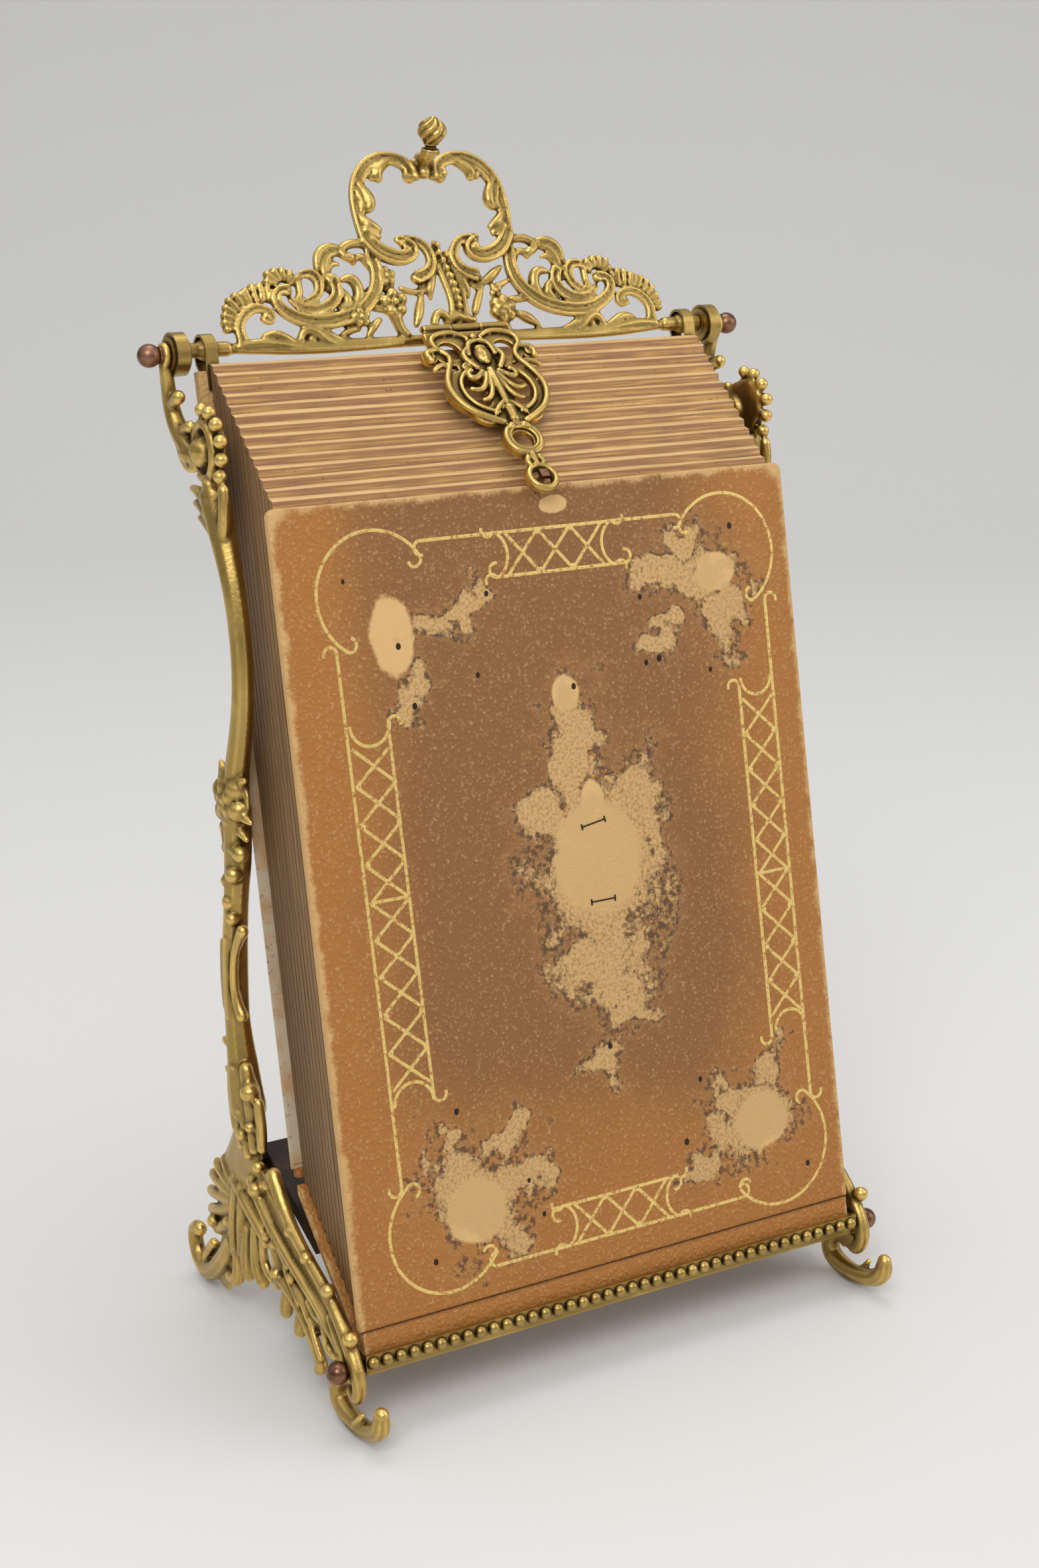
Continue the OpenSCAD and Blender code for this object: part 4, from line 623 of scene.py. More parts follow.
def brass_material(settings, name, crease, mottle, scale=1.0):
    """Gilt brass that is rubbed bright on its ridges and brown in its hollows."""
    material, tree, shader = new_material(name)
    coordinates = node(tree, "ShaderNodeTexCoord")
    hollows = use_group(tree, "Hollows", {"Reach": 0.0045 * scale, "Crease": crease, "Mottle": mottle})
    middle = blend(tree, 0.5, settings.bright, settings.dark)
    body = blend(tree, hollows.outputs["Hollow"], middle, settings.dark)
    body = blend(tree, hollows.outputs["Edge"], body, settings.bright)
    cloud = cloudy(tree, coordinates.outputs["Object"], 55.0, 3.0)
    warm = ramp(tree, cloud, 0.46, 0.72)
    lit = sums(tree, "SUBTRACT", 1.0, hollows.outputs["Hollow"])
    body = blend(tree, sums(tree, "MULTIPLY", sums(tree, "MULTIPLY", warm, lit), 0.5), body, settings.bright)
    tree.links.new(body, shader.inputs["Base Color"])
    shader.inputs["Metallic"].default_value = 1.0
    fine = cloudy(tree, coordinates.outputs["Object"], 900.0, 4.0, 0.65)
    rough = ramp(tree, hollows.outputs["Hollow"], 0.0, 1.0, 0.27, 0.55)
    tree.links.new(sums(tree, "MULTIPLY_ADD", fine, 0.1, rough), shader.inputs["Roughness"])
    height = sums(tree, "MULTIPLY_ADD", cloud, 1.5, fine)
    set_bump(tree, shader, 0.35, 0.0003, height)
    return material


def copper_material():
    """Browned copper of the ball-headed screws, smooth with a soft bloom."""
    material, tree, shader = new_material("brown_copper")
    coordinates = node(tree, "ShaderNodeTexCoord")
    cloud = cloudy(tree, coordinates.outputs["Object"], 260.0, 4.0)
    tone = blend(tree, ramp(tree, cloud, 0.35, 0.65), (0.17, 0.085, 0.05), (0.33, 0.17, 0.105))
    tree.links.new(tone, shader.inputs["Base Color"])
    shader.inputs["Metallic"].default_value = 1.0
    tree.links.new(ramp(tree, cloud, 0.3, 0.7, 0.24, 0.42), shader.inputs["Roughness"])
    set_bump(tree, shader, 0.15, 0.0002, cloud)
    return material


# Places on the cover in millimetres: across from its left edge, up from its foot, and reach each way.
# Leather rubbed rough and pale where mounts were torn off:
ROUGH_SPOTS = [
    (119, 160, 33, 42), (112, 206, 13, 30), (118, 120, 26, 20), (96, 184, 13, 13), (143, 182, 12, 22),
    (126, 104, 12, 10),
    (176, 263, 25, 17), (160, 268, 18, 9), (188, 246, 11, 13), (157, 240, 9, 7), (168, 281, 14, 6),
    (54, 46, 26, 25), (78, 52, 11, 12), (40, 68, 8, 12), (70, 70, 12, 7), (64, 26, 14, 9),
    (178, 46, 23, 20), (152, 40, 13, 9), (186, 68, 8, 11), (166, 60, 10, 6),
    (60, 258, 13, 9), (76, 264, 9, 6), (50, 236, 10, 10), (115, 88, 10, 8),
]
# Leather rubbed smooth and palest:
SMOOTH_SPOTS = [
    (119, 163, 22, 25), (119, 184, 6, 10), (43, 255, 10, 17), (112, 226, 7, 8), (52, 42, 15, 14),
    (182, 48, 14, 13), (184, 264, 11, 9), (115, 296, 7, 4),
]
# Holes of the nails that held the lost mounts:
NAIL_HOLES = [
    (26, 276), (83, 266), (76, 237), (45, 251), (49, 229), (116, 228), (149, 258), (149, 233),
    (155, 234), (178, 227),
    (193, 281), (116, 91), (33, 27), (75, 48), (48, 80), (80, 34), (155, 70), (146, 47), (202, 26),
]
# Staples: middle and tilt in radians, and the bars of each one: offset, width and height
STAPLES = [(118.5, 176, 0.16), (119.5, 146.5, 0.0)]
STAPLE_BARS = [(0.0, 11.0, 0.6), (-5.2, 0.7, 2.4), (5.2, 0.7, 2.4)]


def highest_hill(tree, place, spots):
    """Highest of the hills of some spots."""
    highest = None
    for across, up, wide, high in spots:
        values = {"Place": place, "Middle": (across, 0, up), "Reach": (wide, 1, high)}
        hill = use_group(tree, "Oval spot", values).outputs["Hill"]
        highest = hill if highest is None else sums(tree, "MAXIMUM", highest, hill)
    return highest


def leather_material(settings, name, torn_places):
    """Pebbled leather with pale worn edges, and if asked with the front cover's torn places and rims."""
    material, tree, shader = new_material(name)
    place = use_group(tree, "Place on cover").outputs["Place"]
    parts = node(tree, "ShaderNodeSeparateXYZ", {"Vector": place})
    across, up = parts.outputs[0], parts.outputs[2]
    grain = use_group(tree, "Leather grain", {"Place": place, "Pebble": 1.35})
    slow = cloudy(tree, place, 0.022, 3.0)
    ragged = cloudy(tree, place, 0.11, 6.0, 0.62)
    fine = cloudy(tree, place, 0.75, 5.0, 0.7)
    # Darker towards the upper left, warmer towards the foot and the edges
    left = ramp(tree, across, 0.0, 60.0)
    foot = ramp(tree, up, 5.0, 120.0)
    right = ramp(tree, across, COVER_WIDE_MM, 150.0)
    depth = sums(tree, "MULTIPLY", sums(tree, "MULTIPLY", left, foot), right)
    depth = sums(tree, "MULTIPLY_ADD", slow, 0.9, sums(tree, "SUBTRACT", depth, 0.5))
    base = blend(tree, ramp(tree, depth, 0.0, 0.9), settings.warm, settings.leather)
    # Painted highlights: pale flecks on the pebbles' tops.
    pebble_highlights = sums(tree, "MULTIPLY", grain.outputs["Tops"], ramp(tree, fine, 0.4, 0.64, 0.08, 0.5))
    base = blend(tree, pebble_highlights, base, settings.rubbed)
    # Torn places, pushed about so that their rims wander
    pushed = push(tree, place, place, 0.045, 2.0, 42.0)
    pushed = push(tree, pushed, place, 0.16, 3.0, 14.0)
    sway = sums(tree, "MULTIPLY_ADD", ragged, 2.0, -1.0)
    sway = sums(tree, "MULTIPLY_ADD", fine, 0.5, sums(tree, "SUBTRACT", sway, 0.25))
    rough_hill = highest_hill(tree, pushed, ROUGH_SPOTS if torn_places else [(110, 300, 9, 5)])
    rough = sums(tree, "MULTIPLY_ADD", sway, 0.62, rough_hill)
    smooth_hill = highest_hill(tree, place, SMOOTH_SPOTS if torn_places else [(60, 330, 8, 4)])
    smooth = sums(tree, "MULTIPLY_ADD", sway, 0.22, smooth_hill)
    torn = ramp(tree, rough, 0.12, 0.3)
    bare = ramp(tree, smooth, 0.06, 0.22)
    inside = sums(tree, "MAXIMUM", torn, bare)
    halo = sums(tree, "MULTIPLY", ramp(tree, rough, -0.35, 0.2), 0.35)
    mottle = ramp(tree, fine, 0.38, 0.56)
    pale = blend(tree, mottle, settings.burnt_pale, settings.rubbed)
    pale = blend(tree, bare, pale, settings.rubbed)
    colour = blend(tree, halo, base, settings.burnt_pale)
    colour = blend(tree, inside, colour, pale)
    # Burnt rims and specks
    rim = sums(tree, "MULTIPLY", ramp(tree, rough, -0.08, 0.08), ramp(tree, rough, 0.46, 0.18))
    rim = sums(tree, "MULTIPLY", rim, sums(tree, "SUBTRACT", 1.0, bare))
    specks = cloudy(tree, place, 0.42, 3.0, 0.6)
    rim = sums(tree, "MULTIPLY", rim, ramp(tree, specks, 0.44, 0.56))
    dots = ramp(tree, fine, 0.33, 0.27)
    dots = sums(tree, "MULTIPLY", sums(tree, "MULTIPLY", dots, torn), sums(tree, "SUBTRACT", 1.0, bare))
    burnt = sums(tree, "MAXIMUM", rim, dots)
    colour = blend(tree, sums(tree, "MULTIPLY", burnt, 0.8), colour, settings.burnt)
    # Worn edges of the board
    chips = sums(tree, "MULTIPLY_ADD", ragged, 9.0, -4.0)
    side = sums(tree, "MINIMUM", across, sums(tree, "SUBTRACT", COVER_WIDE_MM, across))
    top = sums(tree, "SUBTRACT", COVER_HIGH_MM, up)
    rubbed = sums(tree, "MULTIPLY_ADD", fine, 4.0, -2.0)
    edge = sums(tree, "ADD", sums(tree, "MINIMUM", side, top), sums(tree, "ADD", chips, rubbed))
    corner = sums(tree, "ADD", sums(tree, "ADD", side, top), chips)
    worn = sums(tree, "MAXIMUM", ramp(tree, edge, 3.4, 0.6), ramp(tree, corner, 13.0, 7.0))
    worn = sums(tree, "MULTIPLY", worn, 0.8)
    colour = blend(tree, worn, colour, settings.rubbed)
    # Fold of the cover near its foot, darkened along its groove as painted shade
    fold = sums(tree, "ABSOLUTE", sums(tree, "SUBTRACT", up, FOLD_MM))
    crease = sums(tree, "MULTIPLY", ramp(tree, fold, 1.3, 0.2), 0.45)
    colour = blend(tree, crease, colour, settings.burnt)
    tree.links.new(colour, shader.inputs["Base Color"])
    shader.inputs["Specular IOR Level"].default_value = 0.4
    roughness = ramp(tree, grain.outputs["Tops"], 0.0, 1.0, 0.62, 0.42)
    tree.links.new(sums(tree, "MULTIPLY_ADD", inside, 0.15, roughness), shader.inputs["Roughness"])
    flat = sums(tree, "SUBTRACT", 1.0, sums(tree, "MULTIPLY", inside, 0.8))
    relief = sums(tree, "MULTIPLY", grain.outputs["Height"], flat)
    relief = sums(tree, "MULTIPLY_ADD", torn, -0.9, relief)
    relief = sums(tree, "MULTIPLY_ADD", sums(tree, "MULTIPLY", fine, torn), 1.4, relief)
    set_bump(tree, shader, 0.9, 0.0006, relief)
    return material


def gilt_material(settings):
    """Gold leaf pressed into the leather, a little broken."""
    material, tree, shader = new_material("gilt_tooling")
    place = use_group(tree, "Place on cover").outputs["Place"]
    broken = cloudy(tree, place, 0.5, 5.0, 0.7)
    tone = blend(tree, ramp(tree, broken, 0.36, 0.52), settings.warm, settings.gilt)
    tree.links.new(tone, shader.inputs["Base Color"])
    tree.links.new(ramp(tree, broken, 0.36, 0.52, 0.0, 0.55), shader.inputs["Metallic"])
    shader.inputs["Roughness"].default_value = 0.42
    return material


def leaf_material(settings):
    """Gilt card edges, rubbed and streaked along their length, with a painted highlight line and painted
    shade on each leaf's stepped edge, brown and layered at the sides with painted shade in the slits.
    """
    material, tree, shader = new_material("gilt_leaves")
    place = use_group(tree, "Place on cover").outputs["Place"]
    parts = node(tree, "ShaderNodeSeparateXYZ", {"Vector": place})
    across, deep, up = parts.outputs[0], parts.outputs[1], parts.outputs[2]
    streaks = node(tree, "ShaderNodeMapping", {"Vector": place, "Scale": (0.035, 1.6, 1.1)})
    streak = cloudy(tree, streaks.outputs["Vector"], 1.0, 5.0, 0.62)
    cloud = cloudy(tree, place, 0.05, 3.0)
    layers = node(tree, "ShaderNodeMapping", {"Vector": place, "Scale": (0.5, 5.0, 0.02)})
    layer = cloudy(tree, layers.outputs["Vector"], 1.0, 4.0)
    gold = blend(tree, ramp(tree, streak, 0.4, 0.62), settings.leaf_brown, settings.leaf_edge)
    gold = blend(tree, ramp(tree, streak, 0.62, 0.74), gold, settings.leaf_bright)
    rubbed = sums(tree, "MULTIPLY", ramp(tree, cloud, 0.45, 0.65), 0.45)
    gold = blend(tree, rubbed, gold, settings.leaf_brown)
    specks = cloudy(tree, place, 0.6, 3.0)
    gold = blend(tree, sums(tree, "MULTIPLY", ramp(tree, specks, 0.66, 0.74), 0.7), gold, settings.burnt)
    # Height below each leaf's own top edge, which paints its light and shade: a pale line of painted
    # highlight, brown painted shade, gold, and dark painted shade in the slit
    passed = sums(tree, "DIVIDE", sums(tree, "SUBTRACT", deep, LEAVES_START_MM), LEAF_PITCH_MM)
    count = sums(tree, "FLOOR", passed)
    top = sums(tree, "MULTIPLY_ADD", count, LEAF_RISE_MM, COVER_HIGH_MM + LEAF_RISE_MM)
    below = sums(tree, "SUBTRACT", top, up)
    below = sums(tree, "MULTIPLY_ADD", streak, 0.8, sums(tree, "SUBTRACT", below, 0.4))
    # Painted shade: brown in a band just below each leaf's top edge, where a hollowed edge would turn from
    # the light.
    gold = blend(tree, sums(tree, "MULTIPLY", ramp(tree, below, 2.9, 1.7), 0.75), gold, settings.leaf_brown)
    # Painted highlight: a pale line along each leaf's top edge.
    gold = blend(tree, sums(tree, "MULTIPLY", ramp(tree, below, 1.7, 1.1), 0.85), gold, settings.leaf_bright)
    # Painted shade: dark at the foot of each leaf's edge, in the slit before the next leaf.
    gold = blend(tree, sums(tree, "MULTIPLY", ramp(tree, below, 3.9, 4.6), 0.9), gold, settings.burnt)
    flank = blend(tree, ramp(tree, layer, 0.38, 0.56), settings.flank_dark, settings.flank)
    # Painted shade at the sides: dark in the slits between the leaves, and darker for the leaves deeper in
    # the stack.
    slit = sums(tree, "ABSOLUTE", sums(tree, "SUBTRACT", sums(tree, "FRACT", passed), 0.5))
    slit_shade = sums(tree, "MULTIPLY", ramp(tree, slit, 0.36, 0.46), 0.75)
    flank = blend(tree, slit_shade, flank, settings.flank_dark)
    shaded = sums(tree, "MULTIPLY", ramp(tree, deep, 10.0, 44.0), 0.65)
    flank = blend(tree, shaded, flank, settings.flank_dark)
    inset = sums(tree, "ABSOLUTE", sums(tree, "SUBTRACT", across, COVER_MIDDLE_MM))
    at_side = ramp(tree, inset, LEAF_WIDE_MM / 2 - 0.3, LEAF_WIDE_MM / 2 - 0.1)
    colour = blend(tree, at_side, gold, flank)
    tree.links.new(colour, shader.inputs["Base Color"])
    gilded = sums(tree, "SUBTRACT", 1.0, at_side)
    metal = sums(tree, "MULTIPLY", ramp(tree, streak, 0.42, 0.66, 0.15, 0.6), gilded)
    tree.links.new(metal, shader.inputs["Metallic"])
    tree.links.new(ramp(tree, streak, 0.35, 0.7, 0.6, 0.36), shader.inputs["Roughness"])
    relief = sums(tree, "MULTIPLY_ADD", layer, at_side, streak)
    set_bump(tree, shader, 0.5, 0.0005, relief)
    return material


def paper_material(settings):
    """Old paper with foxing and specks."""
    material, tree, shader = new_material("aged_paper")
    place = use_group(tree, "Place on cover").outputs["Place"]
    cloud = cloudy(tree, place, 0.045, 5.0)
    fibres = cloudy(tree, place, 2.5, 4.0)
    specks = cloudy(tree, place, 0.5, 2.0)
    tone = blend(tree, ramp(tree, cloud, 0.4, 0.68), settings.paper, settings.burnt_pale)
    tone = blend(tree, sums(tree, "MULTIPLY", ramp(tree, specks, 0.62, 0.72), 0.5), tone, settings.leather)
    tree.links.new(tone, shader.inputs["Base Color"])
    shader.inputs["Roughness"].default_value = 0.85
    set_bump(tree, shader, 0.3, 0.0002, fibres)
    return material


def board_material():
    """Dark covered board, mottled."""
    material, tree, shader = new_material("dark_board")
    coordinates = node(tree, "ShaderNodeTexCoord")
    cloud = cloudy(tree, coordinates.outputs["Object"], 70.0, 5.0)
    tone = blend(tree, ramp(tree, cloud, 0.5, 0.75), (0.022, 0.010, 0.006), (0.085, 0.04, 0.022))
    tree.links.new(tone, shader.inputs["Base Color"])
    tree.links.new(ramp(tree, cloud, 0.3, 0.7, 0.38, 0.62), shader.inputs["Roughness"])
    set_bump(tree, shader, 0.3, 0.0004, cloud)
    return material


def dress(material, *names):
    """Gives nodes that are kept as they are a finish."""
    for name in names:
        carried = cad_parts[name]
        carried.data.materials.clear()
        carried.data.materials.append(material)


def mesh_of(shape, name):
    """Mesh of what a bmesh holds; the bmesh is freed."""
    mesh = bpy.data.meshes.new(name)
    shape.to_mesh(mesh)
    shape.free()
    return mesh


def add_piece(name, source, material, body, replaced=(), sharp=40.0):
    """A piece from a bmesh or a mesh, riding on a body and standing for the nodes that it replaces."""
    mesh = mesh_of(source, name) if isinstance(source, bmesh.types.BMesh) else source
    mesh.materials.clear()
    mesh.materials.append(material)
    mesh.shade_smooth()
    if sharp < 180.0:
        mesh.set_sharp_from_angle(angle=math.radians(sharp))
    piece = bpy.data.objects.new(name, mesh)
    bpy.context.scene.collection.objects.link(piece)
    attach(piece, body)
    if replaced:
        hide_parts(*replaced)
    return piece


def evaluated(holder):
    """Mesh of an object after its modifiers; the object itself goes."""
    bpy.context.scene.collection.objects.link(holder)
    graph = bpy.context.evaluated_depsgraph_get()
    mesh = bpy.data.meshes.new_from_object(holder.evaluated_get(graph))
    bpy.data.objects.remove(holder)
    return mesh


def spot(plane, across, up, lift):
    """A place given in millimetres in a plane."""
    return plane @ (Vector((across, up, lift)) * MM)


def on_cover(across, up):
    """A place on the cover's face before it leans, from millimetres across and up."""
    return Vector(((across - COVER_MIDDLE_MM) * MM, 0.0, up * MM))


def add_ball(shape, middle, radius, stretch=(1, 1, 1), detail=2):
    """Adds a rounded lump to a shape."""
    place = Matrix.Translation(middle) @ Matrix.Diagonal((*stretch, 1.0))
    bmesh.ops.create_icosphere(shape, subdivisions=detail, radius=radius, matrix=place)


def add_strands(shape, runs, place, flat=1.0):
    """Adds rounded, tapering strands to a shape; flat squeezes them towards their own plane."""
    curve = bpy.data.curves.new("strands", "CURVE")
    curve.dimensions = "3D"
    curve.bevel_depth = MM
    curve.bevel_resolution = 2
    curve.resolution_u = 4
    curve.use_fill_caps = True
    for run in runs:
        spline = curve.splines.new("NURBS")
        spline.points.add(len(run) - 1)
        for point, (across, up, reach, lift) in zip(spline.points, run):
            point.co = (across * MM, up * MM, lift * MM, 1.0)
            point.radius = reach
        spline.order_u = min(3, len(run))
        spline.use_endpoint_u = True
    mesh = evaluated(bpy.data.objects.new("strands", curve))
    part = bmesh.new()
    part.from_mesh(mesh)
    for run in runs:
        for across, up, reach, lift in (run[0], run[-1]):
            add_ball(part, Vector((across, up, lift)) * MM, reach * MM, detail=2)
    bmesh.ops.transform(part, matrix=place @ Matrix.Diagonal((1.0, 1.0, flat, 1.0)), verts=part.verts)
    part.to_mesh(mesh)
    part.free()
    shape.from_mesh(mesh)
    bpy.data.meshes.remove(mesh)


def mirrored(runs):
    """Strands turned over from right to left."""
    return [[(-across, up, reach, lift) for across, up, reach, lift in run] for run in runs]


def rims(runs):
    """Two thin strands along the edges of each strand, which leave a channel between them."""
    made = []
    for run in runs:
        for side in (-0.78, 0.78):
            edge = []
            for place, (across, up, reach, lift) in enumerate(run):
                before = run[max(place - 1, 0)]
                after = run[min(place + 1, len(run) - 1)]
                along = Vector((after[0] - before[0], after[1] - before[1])).normalized()
                offset = side * reach
                beside = (across - along.y * offset, up + along.x * offset)
                edge.append((*beside, 0.36 * reach, lift + 0.62 * reach))
            made.append(edge)
    return made


def add_flower(shape, place, across, up, reach, petals, lift):
    """Adds a flower of rounded petals with a knob in its middle."""
    for count in range(petals):
        turn = 2 * math.pi * (count + 0.3) / petals
        away = 0.56 * reach
        middle = spot(place, across + away * math.cos(turn), up + away * math.sin(turn), lift)
        add_ball(shape, middle, 0.40 * reach * MM)
    add_ball(shape, spot(place, across, up, lift + 0.3 * reach), 0.24 * reach * MM)


def add_rod(shape, place, middle, radius, depth, along="Z"):
    """Adds a round bar to a shape, along an axis of a plane."""
    turn = Matrix.Rotation(math.pi / 2, 4, "Y") if along == "X" else Matrix.Identity(4)
    matrix = place @ Matrix.Translation(Vector(middle) * MM) @ turn
    bmesh.ops.create_cone(
        shape,
        cap_ends=True,
        segments=32,
        radius1=radius * MM,
        radius2=radius * MM,
        depth=depth * MM,
        matrix=matrix,
    )


def cast(shape, voxel, rounds=2):
    """One closed, rounded mesh of all that a shape holds."""
    raw = bpy.data.objects.new("raw", mesh_of(shape, "raw"))
    joined = raw.modifiers.new("Remesh", "REMESH")
    joined.mode = "VOXEL"
    joined.voxel_size = voxel
    joined.use_smooth_shade = True
    eased = raw.modifiers.new("Smooth", "SMOOTH")
    eased.factor = 0.5
    eased.iterations = rounds
    return evaluated(raw)


def crest_shape():
    """The crest with its rail, wings, handle, column and flowers."""
    shape = bmesh.new()
    for runs in (WING, HANDLE):
        for side in (runs, mirrored(runs)):
            add_strands(shape, side, CREST, 0.78)
            add_strands(shape, rims(side), CREST)
    ribs = [[(low[0], low[1], 1.0, 1.0), (high[0], high[1], 1.25, 1.2)] for low, high in RIBS]
    webs = [[(low[0], low[1], 1.2, 0.0), (high[0], high[1], 1.5, 0.0)] for low, high in RIBS]
    for runs in (WING_LEAVES, HANDLE_LEAVES, ribs, webs):
        add_strands(shape, runs, CREST)
        add_strands(shape, mirrored(runs), CREST)
    add_strands(shape, MIDDLE, CREST)
    for across, up in BEADS:
        add_ball(shape, spot(CREST, across, up, 2.7), 1.25 * MM)
    for across, up, reach, petals, lift in FLOWERS:
        add_flower(shape, CREST, across, up, reach, petals, lift)
        if petals == 6:
            add_flower(shape, CREST, across, up, 0.6 * reach, 5, lift + 1.5)
    for side in (-1, 1):
        add_rod(shape, CREST, (side * 103.5, 1.0, 0.0), 2.8, 17, "X")
        add_ball(shape, spot(CREST, side * 104.2, 1.0, 0.0), 4.2 * MM, detail=3)
    return shape


def frame_shape():
    """The left side frame with its feet, leaves, rose, shell and branch."""
    shape = bmesh.new()
    add_strands(shape, FRAME_PLATES, LEFT_FRAME, 0.2)
    add_strands(shape, FRAME_STRANDS, LEFT_FRAME, 0.9)
    for across, up, reach, lift in FRAME_KNOBS:
        add_ball(shape, spot(LEFT_FRAME, across, up, lift), reach * MM)
    for ring, reach, lift, petals in ROSE_RINGS:
        for count in range(petals):
            turn = 2 * math.pi * (count + 0.1 * ring) / petals
            across = ROSE_MIDDLE[0] + ring * math.cos(turn)
            up = ROSE_MIDDLE[1] + 1.15 * ring * math.sin(turn)
            add_ball(shape, spot(LEFT_FRAME, across, up, lift), reach * MM, detail=3)
    lobes = [[(*low, 2.8, 1.4), (*high, 1.2, 1.0)] for low, high in ROSE_LOBES]
    add_strands(shape, lobes, LEFT_FRAME)
    add_rod(shape, LEFT_FRAME, (-122.6, 375.5, 4.83), 4.6, 2.4)
    add_rod(shape, LEFT_FRAME, (-1.5, 26.0, 0.35), 4.2, 4.5)
    add_rod(shape, LEFT_FRAME, (-85.5, 70.0, 0.0), 5.0, 4.0)
    return shape


def finial_shape():
    """The flame finial: a turned foot and a drop with slanting flutes."""
    shape = bmesh.new()
    points = [shape.verts.new((radius * MM, 0.0, height * MM)) for radius, height in FINIAL_OUTLINE]
    edges = [shape.edges.new(pair) for pair in zip(points, points[1:])]
    bmesh.ops.spin(
        shape,
        geom=points + edges,
        cent=(0, 0, 0),
        axis=(0, 0, 1),
        dvec=(0, 0, 0),
        angle=2 * math.pi,
        steps=48,
        use_merge=True,
    )
    bmesh.ops.remove_doubles(shape, verts=shape.verts, dist=1e-6)
    bmesh.ops.recalc_face_normals(shape, faces=shape.faces)
    bmesh.ops.transform(shape, matrix=FINIAL, verts=shape.verts)
    flutes = []
    for count in range(FLUTES):
        run = []
        for radius, height, reach in FINIAL_FLUTE:
            turn = 2 * math.pi * count / FLUTES + FLUTE_TWIST * height
            run.append((radius * math.cos(turn), radius * math.sin(turn), reach, height))
        flutes.append(run)
    add_strands(shape, flutes, FINIAL)
    return shape


def clasp_shape():
    """The clasp: its strap joined up, with rims, scrolls, leaves and a calm mask on it."""
    shape = bmesh.new()
    shape.from_mesh(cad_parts["clasp"].data)
    bmesh.ops.remove_doubles(shape, verts=shape.verts, dist=1e-6)
    add_strands(shape, CLASP_PLATES, CLASP, 0.22)
    add_strands(shape, CLASP_HALF, CLASP)
    add_strands(shape, mirrored(CLASP_HALF), CLASP)
    add_strands(shape, CLASP_MIDDLE, CLASP)
    for up, radius, reach, lift in CLASP_RINGS:
        ring = [(across, height, reach, lift) for across, height in arc((0, up), radius, 0, 360, 24)]
        add_strands(shape, [ring], CLASP)
    for across, up, lift, wide, high, deep in CLASP_FACE:
        shift = Matrix.Translation(Vector((across, up, lift)) * MM)
        place = CLASP @ shift @ Matrix.Diagonal((wide, high, deep, 1.0))
        bmesh.ops.create_icosphere(shape, subdivisions=3, radius=MM, matrix=place)
    return shape


def lines_mesh(runs, width, height, closed=False):
    """Flat-topped lines along runs of points in the XZ plane, each width wide and height thick."""
    curve = bpy.data.curves.new("lines", "CURVE")
    curve.dimensions = "3D"
    curve.bevel_depth = width / 2
    curve.bevel_resolution = 1
    curve.use_fill_caps = True
    for run in runs:
        spline = curve.splines.new("POLY")
        spline.points.add(len(run) - 1)
        spline.use_cyclic_u = closed
        for point, (across, up) in zip(spline.points, run):
            point.co = (across, 0.0, up, 1.0)
    mesh = evaluated(bpy.data.objects.new("lines", curve))
    mesh.transform(Matrix.Diagonal((1.0, height / width, 1.0, 1.0)))
    return mesh


def board(width, low, high, front, thickness, corner, rim):
    """Board on the cover's slope, with its top corners and its rims rounded."""
    shape = bmesh.new()
    middle = Vector((0.0, front + thickness / 2, (low + high) / 2))
    size = Matrix.Diagonal((width, thickness, high - low, 1.0))
    bmesh.ops.create_cube(shape, size=1.0, matrix=Matrix.Translation(middle) @ size)
    deep = [e for e in shape.edges if abs(e.verts[0].co.y - e.verts[1].co.y) > thickness / 2]
    posts = [e for e in deep if e.verts[0].co.z > middle.z]
    bmesh.ops.bevel(shape, geom=posts, offset=corner, segments=5, profile=0.5, affect="EDGES", material=-1)
    rims = [e for e in shape.edges if abs(e.verts[0].co.y - e.verts[1].co.y) < thickness / 2]
    bmesh.ops.bevel(shape, geom=rims, offset=rim, segments=3, profile=0.5, affect="EDGES", material=-1)
    return shape


def arc(middle, radius, start, end, steps=24):
    """Points in the XZ plane along part of a circle, between two angles in degrees."""
    angles = [math.radians(start + (end - start) * step / steps) for step in range(steps + 1)]
    return [(middle[0] + radius * math.cos(a), middle[1] + radius * math.sin(a)) for a in angles]


def hook(end, direction, side):
    """Small curl at a line's end: it goes on in a direction in degrees and turns to a side."""
    radius = 2.6
    turn = math.radians(direction + 90 * side)
    middle = (end[0] + radius * math.cos(turn), end[1] + radius * math.sin(turn))
    start = direction - 90 * side
    return arc(middle, radius, start, start + 200 * side, 9)


# Arcs round the tooling's corners: middle, radius, and start and end in degrees
TOOLED_CORNERS = [
    ((38, 270), 23, 33, 234),
    ((189, 271), 23, -56, 145),
    ((39, 38), 23.5, 125, 322),
    ((188, 37), 24, 218, 409),
]


